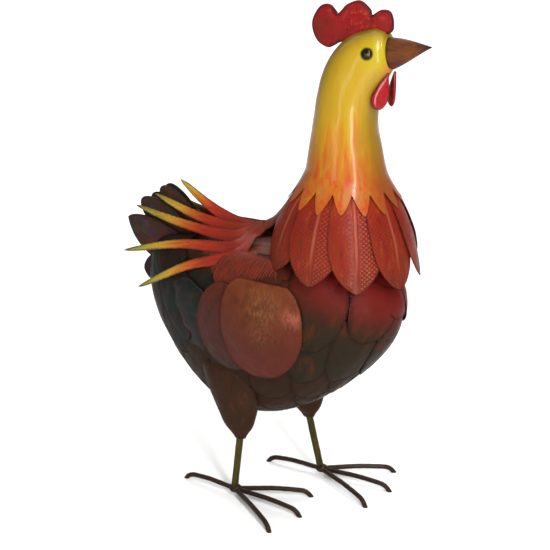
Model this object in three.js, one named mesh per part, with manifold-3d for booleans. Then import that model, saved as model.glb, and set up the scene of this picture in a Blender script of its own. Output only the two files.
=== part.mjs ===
// A painted sheet-metal rooster that stands on two rod legs.
// Millimetres, +X towards the beak, +Y towards the rooster's left side, +Z up, feet on z = 0.
import * as THREE from "three";
import { mergeVertices } from "three/addons/utils/BufferGeometryUtils.js";
import Module from "manifold-3d";

const wasm = await Module();
wasm.setup();

const DEG = Math.PI / 180;
const SHEET = 1.2; // thickness of a cut feather
const GAP = 0.5; // clearance between pieces that are welded or tucked together
const HALF_GAP = 0.25; // the same between neighbouring breast plates
const FRAME_SHIFT = new THREE.Vector3(10, 1, 0); // brings the middle of the base to the origin
const MERGE_WITHIN = 1e-3; // corners closer than this are one
const ROD_TENSION = 0.35;

// The body is an egg: its reach from the middle changes smoothly from one end to the other.
const BODY = {
  middle: new THREE.Vector3(10, 0, 268),
  front: 149,
  rear: 176,
  halfWidth: 80,
  above: 62,
  aboveSwell: 0.42, // share by which the back rises towards the breast
  below: 154,
  belowSwell: -0.38, // share by which the belly deepens towards the rear
  poleShare: 0.03, // of the half turn, left to the flat end at each pole
  rings: 14,
  sides: 20,
};

// The neck and head are ribs that each run from a point on the back line to one on the front line.
const NECK = {
  back: [[20, 326], [25, 366], [42, 402], [48, 439], [53, 474], [58, 508], [69, 541], [91, 567],
    [120, 578], [134, 576]],
  front: [[134, 322], [151, 358], [143, 397], [132.5, 437], [125.5, 470], [126.5, 499], [133, 520],
    [139, 530], [142, 536], [143, 541]],
  halfWidth: [62, 61, 49, 41, 36, 34, 32, 28, 22, 16],
  rings: 14,
  sides: 16,
};

const BEAK = {
  baseTop: new THREE.Vector3(141.5, 0, 570),
  baseBottom: new THREE.Vector3(145, 0, 537),
  halfWidth: 14,
  tip: new THREE.Vector3(187, 0, 565),
  shares: [1, 0.55, 0.06], // of the base, for each ring towards the tip
  sides: 12,
};

// The comb's outline, in the plane of symmetry, with three lobes.
const COMB = {
  middle: [92, 572.5],
  outline: [[82, 561], [67, 554], [52, 562], [47, 580], [56, 596], [68, 599], [77, 590], [88, 600], [103, 605],
    [115, 597], [118, 591], [127, 597], [138, 596], [142, 584], [138, 574], [112, 568], [94, 560]],
  thickness: 8,
  edge: 2.4,
};

// How far out from the middle of a puffed plate its rings lie, as shares.
const PILLOW_SHARES = [0.62, 1];

const WATTLE = {
  top: new THREE.Vector3(141, -5, 534),
  length: 40,
  width: 20,
  middle: 0.62, // of the length, from the top
  // Points of its edge, as shares of half the width and of the length.
  edgePoints: [[0, 0], [0.35, 0.18], [0.85, 0.5], [1, 0.76], [0.62, 0.96], [0, 1]],
  thickness: 4,
  edge: 1.6,
  turn: 45, // degrees that its face is turned forward from straight sideways
  splay: 17, // degrees that it hangs back from the vertical
};

const EYE = {
  x: 124,
  z: 555,
  headSide: -26.4, // y of the head's right side there
  seat: 3, // depth of the bead inside the head
  radius: 5.6,
  proud: 2.4,
  shares: [1, 0.8, 0.4], // of the radius, for each ring
  sides: 10,
};

// Shape of every leaf plate: least width at the tip (squared), and powers of its shoulder and of its crown.
const LEAF = { tipLeast: 0.006, shoulderPower: 2.2, crownPower: 0.7 };

// Long embossed feathers that hang from the neck over the breast and shoulders, open at the back.
const HACKLE = {
  count: 8,
  step: 36, // degrees from one to the next
  centre: 91,
  rootHeight: 404,
  tipHeight: 303,
  backLift: 16, // how much higher the tips end at the back than at the front
  rootRadius: 53.5,
  tipRadius: 86,
  flare: 0.8, // power by which the bell widens from root to tip
  bulge: 5,
  width: 57,
  rootShare: 0.5,
  widest: 0.6,
  grid: [6, 3],
  shingle: 0.06, // sideways tilt that lets each one pass over the next
};

// Domed leaf plates that overlap like scales over the breast.
const SCALE = {
  pitch: 52,
  clearance: 2,
  lift: 0.065,
  dome: 1.8,
  tilt: 0.8,
  root: 1.8,
  rootShare: 0.45,
  widest: 0.55,
  grid: [6, 3],
};
const BREAST_ROWS = [
  { latitude: 25, places: [0.5, 1.5, 2.5], length: 68 },
  { latitude: -1, places: [0, 1, 2], length: 76 },
];
const TURN_STEP = 0.002; // radians, for measuring round the body

// Wing plates from the rear forward, each over the one behind it. The tilt brings its front edge in.
const WING = [
  {
    name: "shoulder_plate", x: 4, z: 297, length: 66, width: 80, turn: 12,
    root: 0.8, dome: 1.2, tilt: 0, lift: 0,
  },
  {
    name: "rear_covert", x: -80, z: 238, length: 104, width: 84, turn: 30,
    root: 2.2, dome: 2, tilt: 1.4, lift: 0.01,
  },
  {
    name: "middle_covert", x: -13, z: 243, length: 112, width: 88, turn: 16,
    root: 4.6, dome: 3, tilt: 1.6, lift: 0.02,
  },
  {
    name: "front_covert", x: 33, z: 252, length: 116, width: 98, turn: 2,
    root: 9.2, dome: 7, tilt: 1.2, lift: 0.03,
  },
];
const WING_LEAF = { rootShare: 0.5, widest: 0.5, grid: [7, 4] };

// Flat tail feathers that fan out in the plane of symmetry, the innermost pair standing highest.
const TAIL = {
  root: new THREE.Vector3(-78, 0, 272),
  pairs: [
    { rise: 51, length: 124, width: 38, yaw: 1 },
    { rise: 37, length: 131, width: 42, yaw: 2 },
    { rise: 19, length: 132, width: 48, yaw: 4 },
    { rise: -3, length: 95, width: 52, yaw: 8 },
  ],
  innermost: 1.4,
  layer: 3.2,
  dome: 1.4,
  rootShare: 0.4,
  widest: 0.62,
  grid: [6, 3],
};

// A cut sheet that runs down the back of the neck and spreads in five strips over the rump.
const FAN = {
  stem: [[47, -30, 399], [26, -21, 372], [6, -15, 351], [-14, -14, 339]],
  stemHalfWidth: 8,
  stemTop: 0.75, // share of its width that the stem has at its upper end
  stemFacing: [-0.45, -0.62, 0.62],
  stemRows: 4,
  leftDrop: 5, // how much lower the left one's upper strips sit
  dropWithin: 60, // length behind the stem's top in which that is reached
  fromStem: 0.6, // where the strips start on the stem's last stretch
  intoPalm: 0.25,
  palmTop: [-52, -8, 341],
  palmLow: [-16, -55, 320],
  strips: [
    { palm: 0, tip: [-128, -4, 380], bow: 4 },
    { palm: 0.22, tip: [-161, -12, 360], bow: 5 },
    { palm: 0.46, tip: [-180, -24, 345], bow: 5 },
    { palm: 0.76, tip: [-174, -60, 299], bow: -5 },
    { palm: 1, tip: [-138, -82, 266], bow: -6 },
  ],
  stripHalfWidth: 8.6,
  taper: { gain: 1.3, root: 0.6, swell: 2.2, least: 0.015 },
  facing: [-0.1, -0.75, 0.65],
  facingTurn: [0, -0.2, -0.35], // added to the facing towards the tips of the lower strips
  stripRows: 6,
};

const THIGH = {
  height: 172,
  bottom: 80,
  inset: 43, // of its top from the plane of symmetry
  lean: 12, // how far its top lies behind its bottom
  radii: [38, 37, 33.5, 28.5, 24, 18, 7.5],
  flatten: 0.74, // width across the body against length along it
  sides: 10,
};

const LEG = {
  radius: 4.4,
  intoThigh: 22,
  clearance: 1.3, // between the rod's end and the toes
  socket: 0.4, // clearance round the rod in the thigh
  socketDepth: 1,
  sides: 10,
  steps: 3,
  right: { foot: [-29, -50], knee: [-22.5, -45.5, 84], heading: -3 },
  left: { foot: [40, 47.5], knee: [23, 45.5, 84], heading: 3 },
};

const TOE = {
  radius: 3,
  height: 8.5, // of the rod's centre where the toes meet
  front: 96,
  back: 76,
  spread: 30,
  clawDrop: 13, // length of the part that is bent down at the tip
  bend: 0.35, // share of the claw that is left past its bend
  rises: [0, 1.5, -0.5, -4.5, -11], // of the rod's centre above where the toes meet, from the weld to the tip
  sideStart: 3, // from the weld's middle
  clearance: 0.3,
  sides: 8,
  longSteps: 13,
  sideSteps: 7,
};

const FLOOR = { size: 400, depth: 40 }; // the block of ground that the toes are cut off against

const PAINT = {
  yellow: { color: 0xd2a92e, roughness: 0.38, metalness: 0.1 },
  red: { color: 0xa32018, roughness: 0.4, metalness: 0.1 },
  hackle: { color: 0x9c3320, roughness: 0.42, metalness: 0.2 },
  breast: { color: 0x6e2a20, roughness: 0.5, metalness: 0.15 },
  wing: { color: 0x75361f, roughness: 0.5, metalness: 0.2 },
  dark: { color: 0x38291f, roughness: 0.55, metalness: 0.2 },
  tail: { color: 0x2a1d1c, roughness: 0.45, metalness: 0.2 },
  beak: { color: 0x7a4626, roughness: 0.5, metalness: 0.2 },
  leg: { color: 0x524522, roughness: 0.5, metalness: 0.4 },
  toe: { color: 0x33241f, roughness: 0.5, metalness: 0.4 },
  eye: { color: 0x0b0907, roughness: 0.1, metalness: 0.0 },
};

const materials = Object.fromEntries(
  Object.entries(PAINT).map(([name, look]) => [name, new THREE.MeshStandardMaterial(look)]),
);

// A smooth value between evenly spaced stations, where t runs from 0 to 1.
function along(values, t) {
  const curve = new THREE.SplineCurve(values.map((v, i) => new THREE.Vector2(i, v)));
  return curve.getPoint(t).y;
}

// A point of a smooth line through x and z pairs in the plane of symmetry.
function pointOn(pairs, t) {
  return new THREE.Vector3(along(pairs.map((p) => p[0]), t), 0, along(pairs.map((p) => p[1]), t));
}

// The closed surface through rings that all have the same number of points, with flat ends.
function loft(rings) {
  const sides = rings[0].length;
  const points = rings.flat();
  const faces = [];
  for (let r = 0; r + 1 < rings.length; r++) {
    for (let s = 0; s < sides; s++) {
      const a = r * sides + s;
      const b = r * sides + ((s + 1) % sides);
      faces.push(a, b, b + sides, a, b + sides, a + sides);
    }
  }
  const last = (rings.length - 1) * sides;
  const startMiddle = points.length;
  points.push(middleOf(rings[0]), middleOf(rings[rings.length - 1]));
  for (let s = 0; s < sides; s++) {
    const next = (s + 1) % sides;
    faces.push(startMiddle, next, s);
    faces.push(startMiddle + 1, last + s, last + next);
  }
  return facesOut(points, faces);
}

function middleOf(ring) {
  return ring.reduce((sum, p) => sum.add(p), new THREE.Vector3()).divideScalar(ring.length);
}

// A geometry from points and triangles, turned round if its triangles face inwards.
function facesOut(points, faces) {
  let volume = 0;
  for (let i = 0; i < faces.length; i += 3) {
    const [a, b, c] = faces.slice(i, i + 3).map((k) => points[k]);
    volume += a.dot(b.clone().cross(c));
  }
  if (volume < 0) faces.reverse();
  const geometry = new THREE.BufferGeometry().setFromPoints(points);
  geometry.setIndex(faces);
  return geometry;
}

// A thin sheet: outer(u, v) and inner(u, v) give its two faces, with u along it and v across it.
function sheet(outer, inner, rows, columns) {
  const points = [];
  const faces = [];
  const steps = columns + 1;
  const skin = (rows + 1) * steps;
  for (const face of [outer, inner]) {
    for (let r = 0; r <= rows; r++) {
      for (let c = 0; c <= columns; c++) points.push(face(easedStep(r / rows), c / columns));
    }
  }
  for (let r = 0; r < rows; r++) {
    for (let c = 0; c < columns; c++) {
      const a = r * steps + c;
      const quad = [a, a + 1, a + steps + 1, a, a + steps + 1, a + steps];
      faces.push(...quad, ...quad.map((k) => k + skin).reverse());
    }
  }
  const rim = rimOf(rows, columns, steps);
  rim.forEach((a, i) => {
    const b = rim[(i + 1) % rim.length];
    faces.push(b, a, a + skin, b, a + skin, b + skin);
  });
  return facesOut(points, faces);
}

// Rows crowd towards both ends of a sheet, where its outline is round.
function easedStep(t) {
  return (1 - Math.cos(Math.PI * t)) / 2;
}

function rimOf(rows, columns, steps) {
  const rim = [];
  for (let c = 0; c < columns; c++) rim.push(c);
  for (let r = 0; r < rows; r++) rim.push(r * steps + columns);
  for (let c = columns; c > 0; c--) rim.push(rows * steps + c);
  for (let r = rows; r > 0; r--) rim.push(r * steps);
  return rim;
}

// A manifold-3d solid of a closed geometry, for cutting and joining.
function solidOf(geometry) {
  const bare = new THREE.BufferGeometry().setAttribute("position", geometry.getAttribute("position"));
  bare.setIndex(geometry.getIndex());
  const merged = mergeVertices(bare, MERGE_WITHIN);
  return new wasm.Manifold(
    new wasm.Mesh({
      numProp: 3,
      vertProperties: new Float32Array(merged.attributes.position.array),
      triVerts: new Uint32Array(merged.index.array),
    }),
  );
}

function geometryOf(solid) {
  const mesh = solid.getMesh();
  const geometry = new THREE.BufferGeometry();
  geometry.setAttribute("position", new THREE.BufferAttribute(new Float32Array(mesh.vertProperties), 3));
  geometry.setIndex(new THREE.BufferAttribute(new Uint32Array(mesh.triVerts), 1));
  return geometry;
}

function piece(name, geometry, paint) {
  const mesh = new THREE.Mesh(geometry, materials[paint]);
  mesh.name = name;
  return mesh;
}

// The same geometry on the rooster's other side.
function mirrored(geometry) {
  const points = [];
  const position = geometry.getAttribute("position");
  for (let i = 0; i < position.count; i++) {
    points.push(new THREE.Vector3(position.getX(i), -position.getY(i), position.getZ(i)));
  }
  return facesOut(points, Array.from(geometry.getIndex().array));
}

// A closed geometry with each corner moved out along its own normal.
function grownAlong(geometry, distance) {
  geometry.computeVertexNormals();
  const position = geometry.getAttribute("position");
  const normal = geometry.getAttribute("normal");
  const points = [];
  for (let i = 0; i < position.count; i++) {
    const p = new THREE.Vector3().fromBufferAttribute(position, i);
    points.push(p.addScaledVector(new THREE.Vector3().fromBufferAttribute(normal, i), distance));
  }
  return facesOut(points, Array.from(geometry.getIndex().array));
}

// An egg's reach for a share s that runs from -1 at one end to 1 at the other.
function eggReach(s, ahead, behind) {
  return (s * (ahead + behind)) / 2 + (s * s * (ahead - behind)) / 2;
}

// The share s that gives a reach, the other way round.
function eggShare(reach, ahead, behind) {
  const slope = (ahead + behind) / 2;
  const curve = (ahead - behind) / 2;
  return (Math.sqrt(slope * slope + 4 * curve * reach) - slope) / (2 * curve);
}

function heights(n) {
  return [BODY.above * (1 + BODY.aboveSwell * n.x), BODY.below * (1 + BODY.belowSwell * n.x)];
}

// The body's surface point in the direction of a unit vector.
function bodyPoint(n) {
  return new THREE.Vector3(
    BODY.middle.x + eggReach(n.x, BODY.front, BODY.rear),
    BODY.halfWidth * n.y,
    BODY.middle.z + eggReach(n.z, ...heights(n)),
  );
}

// How fast the surface point moves as the unit vector's x and z change.
function bodyRates(n) {
  const [above, below] = heights(n);
  const risingAbove = BODY.above * BODY.aboveSwell;
  const risingBelow = BODY.below * BODY.belowSwell;
  return {
    length: (BODY.front + BODY.rear) / 2 + (BODY.front - BODY.rear) * n.x,
    height: (above + below) / 2 + (above - below) * n.z,
    rise: eggReach(n.z, risingAbove, risingBelow),
  };
}

function bodyNormal(n) {
  const rate = bodyRates(n);
  const z = n.z / rate.height;
  return new THREE.Vector3((n.x - rate.rise * z) / rate.length, n.y / BODY.halfWidth, z).normalize();
}

// The change of the unit vector that moves the surface point by a small step.
function directionStep(n, step) {
  const rate = bodyRates(n);
  const x = step.x / rate.length;
  return new THREE.Vector3(x, step.y / BODY.halfWidth, (step.z - rate.rise * x) / rate.height);
}

// The unit vector of the right flank's place at a given x and z.
function flankDirection(x, z) {
  const n = new THREE.Vector3(eggShare(x - BODY.middle.x, BODY.front, BODY.rear), 0, 0);
  n.z = eggShare(z - BODY.middle.z, ...heights(n));
  n.y = -Math.sqrt(1 - n.x * n.x - n.z * n.z);
  return n;
}

function bodyGeometry(grow = 0) {
  const made = [];
  for (let r = 0; r <= BODY.rings; r++) {
    const polar = Math.PI * (BODY.poleShare + ((1 - 2 * BODY.poleShare) * r) / BODY.rings);
    made.push(
      Array.from({ length: BODY.sides }, (_, s) => {
        const turn = (2 * Math.PI * s) / BODY.sides;
        const n = new THREE.Vector3(
          -Math.cos(polar),
          Math.sin(polar) * Math.cos(turn),
          Math.sin(polar) * Math.sin(turn),
        );
        return bodyPoint(n).addScaledVector(bodyNormal(n), grow);
      }),
    );
  }
  return loft(made);
}

// Half the width of a leaf plate, as a share of its widest, at u from root to tip.
function leafWidth(u, rootShare, widest) {
  if (u > widest) {
    const past = (u - widest) / (1 - widest);
    return Math.sqrt(Math.max(1 - past * past, LEAF.tipLeast));
  }
  const before = (widest - u) / widest;
  return rootShare + (1 - rootShare) * Math.sqrt(Math.max(1 - before ** LEAF.shoulderPower, 0));
}

// A leaf plate that follows the body: a runs along it from a start, and b runs across it.
function bodyPlate(leaf) {
  const { place, pointing, start = 0, length, width, root, lift, dome, tilt, rootShare, widest, grid } = leaf;
  const normal = bodyNormal(place);
  const down = pointing.clone().addScaledVector(normal, -pointing.dot(normal)).normalize();
  const aside = normal.clone().cross(down);
  const stepDown = directionStep(place, down);
  const stepAside = directionStep(place, aside);
  const onBody = (a, b) => {
    const step = stepDown.clone().multiplyScalar(a).addScaledVector(stepAside, b);
    const angle = step.length();
    if (angle === 0) return place;
    const turned = place.clone().multiplyScalar(Math.cos(angle));
    return turned.addScaledVector(step, Math.sin(angle) / angle).normalize();
  };
  const face = (raise) => (u, c) => {
    const v = (2 * c - 1) * leafWidth(u, rootShare, widest);
    const n = onBody(start + u * length, (v * width) / 2);
    const crown = dome * (1 - v * v) * Math.sin(Math.PI * u) ** LEAF.crownPower;
    const height = root + lift * u * length + crown - tilt * v + raise;
    return bodyPoint(n).addScaledVector(bodyNormal(n), height);
  };
  return sheet(face(SHEET), face(0), ...grid);
}

// Sphere directions spaced evenly along one latitude of the body, counted from the middle of the breast.
function rowDirections(latitude, places, pitch) {
  const at = (turn) =>
    new THREE.Vector3(
      Math.cos(latitude) * Math.cos(turn),
      Math.cos(latitude) * Math.sin(turn),
      Math.sin(latitude),
    );
  const found = [];
  let travelled = 0;
  let last = bodyPoint(at(0));
  for (let turn = 0; found.length < places.length && turn < Math.PI; turn += TURN_STEP) {
    const here = bodyPoint(at(turn));
    travelled += here.distanceTo(last);
    last = here;
    if (travelled >= places[found.length] * pitch) found.push(turn);
  }
  const both = found.flatMap((turn) => (turn < TURN_STEP ? [turn] : [turn, -turn]));
  return both.sort((a, b) => a - b).map(at);
}

function makeNeck() {
  const rings = [];
  for (let r = 0; r <= NECK.rings; r++) {
    const t = r / NECK.rings;
    const back = pointOn(NECK.back, t);
    const front = pointOn(NECK.front, t);
    const middle = back.clone().add(front).divideScalar(2);
    const half = front.clone().sub(back).divideScalar(2);
    const width = along(NECK.halfWidth, t);
    rings.push(
      Array.from({ length: NECK.sides }, (_, s) => {
        const turn = (2 * Math.PI * s) / NECK.sides;
        return middle
          .clone()
          .addScaledVector(half, Math.cos(turn))
          .add(new THREE.Vector3(0, width * Math.sin(turn), 0));
      }),
    );
  }
  return loft(rings);
}

function makeBeak() {
  const middle = BEAK.baseTop.clone().add(BEAK.baseBottom).divideScalar(2);
  const half = BEAK.baseTop.clone().sub(BEAK.baseBottom).divideScalar(2);
  const ring = (share) =>
    Array.from({ length: BEAK.sides }, (_, s) => {
      const turn = (2 * Math.PI * s) / BEAK.sides;
      const onBase = middle
        .clone()
        .addScaledVector(half, Math.cos(turn))
        .add(new THREE.Vector3(0, BEAK.halfWidth * Math.sin(turn), 0));
      return BEAK.tip.clone().lerp(onBase, share);
    });
  return loft(BEAK.shares.map(ring));
}

// A puffed plate: an outline in the plane of two axes, thickest at its middle and thin at its edge.
function pillow(outline, middle, thickness, edge, place) {
  const curve = new THREE.CatmullRomCurve3(
    outline.map(([p, q]) => new THREE.Vector3(p, q, 0)),
    true,
    "catmullrom",
    0.5,
  );
  const around = outline.length * 2;
  const halfThickness = (share) => (edge + (thickness - edge) * Math.sqrt(1 - share ** 3)) / 2;
  const ring = (share, side) =>
    Array.from({ length: around }, (_, s) => {
      const rim = curve.getPoint(s / around);
      return place(
        middle[0] + (rim.x - middle[0]) * share,
        middle[1] + (rim.y - middle[1]) * share,
        side * halfThickness(share),
      );
    });
  const front = PILLOW_SHARES.map((share) => ring(share, 1));
  const rear = PILLOW_SHARES.map((share) => ring(share, -1)).reverse();
  return loft([...front, ...rear]);
}

function makeComb() {
  const upright = (x, z, y) => new THREE.Vector3(x, y, z);
  return pillow(COMB.outline, COMB.middle, COMB.thickness, COMB.edge, upright);
}

// The right wattle, a drop that hangs from its narrow end.
function makeWattle() {
  const half = WATTLE.width / 2;
  const front = WATTLE.edgePoints.map(([across, down]) => [across * half, -down * WATTLE.length]);
  const rear = front.slice(1, -1).map(([p, q]) => [-p, q]);
  const outline = [...front, ...rear.reverse()];
  const turn = new THREE.Matrix4().makeRotationZ(WATTLE.turn * DEG);
  const lean = new THREE.Matrix4().makeRotationY(WATTLE.splay * DEG);
  const hung = (p, q, side) =>
    new THREE.Vector3(p, side, q).applyMatrix4(lean).applyMatrix4(turn).add(WATTLE.top);
  return pillow(outline, [0, -WATTLE.middle * WATTLE.length], WATTLE.thickness, WATTLE.edge, hung);
}

// A glass bead set into the side of the head.
function makeEye() {
  const made = EYE.shares.map((share) =>
    Array.from({ length: EYE.sides }, (_, s) => {
      const turn = (2 * Math.PI * s) / EYE.sides;
      const out = EYE.proud * Math.sqrt(1 - share * share);
      return new THREE.Vector3(
        EYE.x + EYE.radius * share * Math.cos(turn),
        EYE.headSide - out,
        EYE.z + EYE.radius * share * Math.sin(turn),
      );
    }),
  );
  const seat = made[0].map((p) => p.clone().setY(EYE.headSide + EYE.seat));
  return loft([seat, ...made]);
}

// One hackle feather, on a bell-shaped ring around the neck's axis.
function makeHackle(index) {
  const middleTurn = (index - (HACKLE.count - 1) / 2) * HACKLE.step * DEG;
  const tip = HACKLE.tipHeight + (HACKLE.backLift * (1 - Math.cos(middleTurn))) / 2;
  const face = (raise) => (u, c) => {
    const aside = ((2 * c - 1) * leafWidth(u, HACKLE.rootShare, HACKLE.widest) * HACKLE.width) / 2;
    const spread = HACKLE.rootRadius + (HACKLE.tipRadius - HACKLE.rootRadius) * u ** HACKLE.flare;
    const radius = spread + HACKLE.bulge * Math.sin(Math.PI * u) - HACKLE.shingle * aside + raise;
    const turn = middleTurn + aside / radius;
    return new THREE.Vector3(
      HACKLE.centre + radius * Math.cos(turn),
      radius * Math.sin(turn),
      HACKLE.rootHeight + (tip - HACKLE.rootHeight) * u,
    );
  };
  return sheet(face(SHEET), face(0), ...HACKLE.grid);
}

function makeBreastPlates() {
  return BREAST_ROWS.flatMap(({ latitude, places, length }, r) =>
    rowDirections(latitude * DEG, places, SCALE.pitch).map((place, k) => {
      const pointing = new THREE.Vector3(0, 0, -1);
      const leaf = { ...SCALE, place, pointing, length, width: SCALE.pitch - SCALE.clearance };
      return [`breast_feather_${r + 1}_${k + 1}`, bodyPlate(leaf)];
    }),
  );
}

// A right wing plate, with its middle at a place on the flank.
function makeWingPlate({ x, z, turn, ...leaf }) {
  return bodyPlate({
    ...WING_LEAF,
    ...leaf,
    place: flankDirection(x, z),
    pointing: new THREE.Vector3(-Math.sin(turn * DEG), 0, -Math.cos(turn * DEG)),
    start: -leaf.length / 2,
  });
}

// A right tail feather that fans back from the rump.
function makeTailFeather({ rise, length, width, yaw }, layer) {
  const run = new THREE.Vector3(
    -Math.cos(rise * DEG) * Math.cos(yaw * DEG),
    -Math.sin(yaw * DEG),
    Math.sin(rise * DEG) * Math.cos(yaw * DEG),
  );
  const outward = new THREE.Vector3(0, -1, 0).addScaledVector(run, run.y).normalize();
  const across = run.clone().cross(outward);
  const start = TAIL.root.clone().add(new THREE.Vector3(0, -TAIL.innermost - TAIL.layer * layer, 0));
  const face = (raise) => (u, c) => {
    const v = (2 * c - 1) * leafWidth(u, TAIL.rootShare, TAIL.widest);
    return start
      .clone()
      .addScaledVector(run, u * length)
      .addScaledVector(across, (v * width) / 2)
      .addScaledVector(outward, TAIL.dome * (1 - v * v) + raise);
  };
  return sheet(face(SHEET), face(0), ...TAIL.grid);
}

// A ribbon of sheet along a curve through points, its face turned towards an outward direction.
function ribbon(points, halfWidth, outwardAt, rows) {
  const curve = new THREE.CatmullRomCurve3(points);
  const face = (raise) => (u, c) => {
    const tangent = curve.getTangent(u);
    const outward = outwardAt(u);
    outward.addScaledVector(tangent, -outward.dot(tangent)).normalize();
    const across = tangent.clone().cross(outward);
    return curve
      .getPoint(u)
      .addScaledVector(across, (2 * c - 1) * halfWidth(u))
      .addScaledVector(outward, raise);
  };
  return solidOf(sheet(face(SHEET), face(0), rows, 1));
}

// A fan on the right: five tapered strips that leave one stem, cut from a single sheet.
function makeFan(drop = 0) {
  const place = ([x, y, z], share) =>
    new THREE.Vector3(x, y, z - drop * share * Math.min((FAN.stem[0][0] - x) / FAN.dropWithin, 1));
  const stem = FAN.stem.map((p) => place(p, 1));
  const end = stem[stem.length - 1];
  const start = stem[stem.length - 2].clone().lerp(end, FAN.fromStem);
  const stemFace = () => new THREE.Vector3(...FAN.stemFacing);
  const stemHalfWidth = (u) => FAN.stemHalfWidth * (FAN.stemTop + (1 - FAN.stemTop) * u);
  const { gain, root, swell, least } = FAN.taper;
  const halfWidth = (u) =>
    FAN.stripHalfWidth * Math.sqrt(Math.max(Math.min(gain * (1 - u) * (root + swell * u), 1), least));
  const made = FAN.strips.map(({ palm, tip, bow }) => {
    const last = place(tip, 1 - palm);
    const inPalm = place(FAN.palmTop, 1).lerp(place(FAN.palmLow, 0), palm);
    const bend = inPalm.clone().lerp(last, 0.5).add(new THREE.Vector3(0, 0, -bow));
    const outwardAt = (u) =>
      new THREE.Vector3(...FAN.facing).addScaledVector(new THREE.Vector3(...FAN.facingTurn), palm * u);
    const points = [start, end.clone().lerp(inPalm, FAN.intoPalm), inPalm, bend, last];
    return ribbon(points, halfWidth, outwardAt, FAN.stripRows);
  });
  return geometryOf(wasm.Manifold.union([ribbon(stem, stemHalfWidth, stemFace, FAN.stemRows), ...made]));
}

function rod(points, radius, sides, steps) {
  const section = new THREE.Shape(
    Array.from({ length: sides }, (_, s) => {
      const turn = (2 * Math.PI * s) / sides;
      return new THREE.Vector2(radius * Math.cos(turn), radius * Math.sin(turn));
    }),
  );
  const corners = points.map((p) => new THREE.Vector3(...p));
  const path = new THREE.CatmullRomCurve3(corners, false, "catmullrom", ROD_TENSION);
  const geometry = new THREE.ExtrudeGeometry(section, { steps, extrudePath: path });
  geometry.deleteAttribute("normal");
  geometry.deleteAttribute("uv");
  return mergeVertices(geometry, MERGE_WITHIN);
}

// The thigh is a drop-shaped sleeve that narrows down to the leg.
function makeThigh({ knee }) {
  const top = new THREE.Vector3(knee[0] - THIGH.lean, Math.sign(knee[1]) * THIGH.inset, THIGH.height);
  const bottom = new THREE.Vector3(knee[0], knee[1], THIGH.bottom);
  const rings = THIGH.radii.map((radius, r) => {
    const middle = top.clone().lerp(bottom, r / (THIGH.radii.length - 1));
    return Array.from({ length: THIGH.sides }, (_, s) => {
      const turn = (2 * Math.PI * s) / THIGH.sides;
      return middle
        .clone()
        .add(new THREE.Vector3(radius * Math.cos(turn), radius * THIGH.flatten * Math.sin(turn), 0));
    });
  });
  return loft(rings);
}

// The leg's rod, from just above the toes up into the thigh.
function legPath({ foot, knee }, grow = 0) {
  const low = new THREE.Vector3(foot[0], foot[1], TOE.height + TOE.radius + LEG.clearance);
  const high = new THREE.Vector3(...knee);
  const run = high.clone().sub(low).normalize();
  return [low, high, high.clone().addScaledVector(run, LEG.intoThigh + grow)].map((p) => p.toArray());
}

// One toe's path in the foot's own frame, from the weld outwards, with its tip bent down to the floor.
function toePath(length, turn, from) {
  const reach = [from, length / 2, length - TOE.clawDrop, length - TOE.clawDrop * TOE.bend, length];
  return reach.map((r, i) => [r * Math.cos(turn), r * Math.sin(turn), TOE.height + TOE.rises[i]]);
}

function placed(points, { foot, heading }) {
  const cos = Math.cos(heading * DEG);
  const sin = Math.sin(heading * DEG);
  return points.map(([x, y, z]) => [foot[0] + x * cos - y * sin, foot[1] + x * sin + y * cos, z]);
}

// A foot: one long rod is the middle and the back toe, and two shorter rods are welded to its sides.
function makeFoot(name, leg) {
  const ground = solidOf(bareBox(FLOOR.size, FLOOR.size, FLOOR.depth));
  const floor = ground.translate([0, 0, -FLOOR.depth / 2]);
  const back = toePath(TOE.back, Math.PI, 0).reverse();
  const middle = toePath(TOE.front, 0, 0);
  const long = placed([...back, ...middle.slice(1)], leg);
  const longRod = solidOf(rod(long, TOE.radius, TOE.sides, TOE.longSteps));
  const longGrown = solidOf(rod(long, TOE.radius + TOE.clearance, TOE.sides, TOE.longSteps));
  const made = [piece(`${name}_middle_and_back_toe`, geometryOf(longRod.subtract(floor)), "toe")];
  for (const [label, turn] of [["outer", -1], ["inner", 1]]) {
    const side = name === "right" ? turn : -turn;
    const path = placed(toePath(TOE.front, side * TOE.spread * DEG, TOE.sideStart), leg);
    const toe = solidOf(rod(path, TOE.radius, TOE.sides, TOE.sideSteps)).subtract(longGrown).subtract(floor);
    made.push(piece(`${name}_${label}_toe`, geometryOf(largestOf(toe)), "toe"));
  }
  return made;
}

function bareBox(x, y, z) {
  const box = new THREE.BoxGeometry(x, y, z);
  box.deleteAttribute("normal");
  box.deleteAttribute("uv");
  return box;
}

function largestOf(solid) {
  return solid.decompose().sort((a, b) => b.volume() - a.volume())[0];
}

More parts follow.
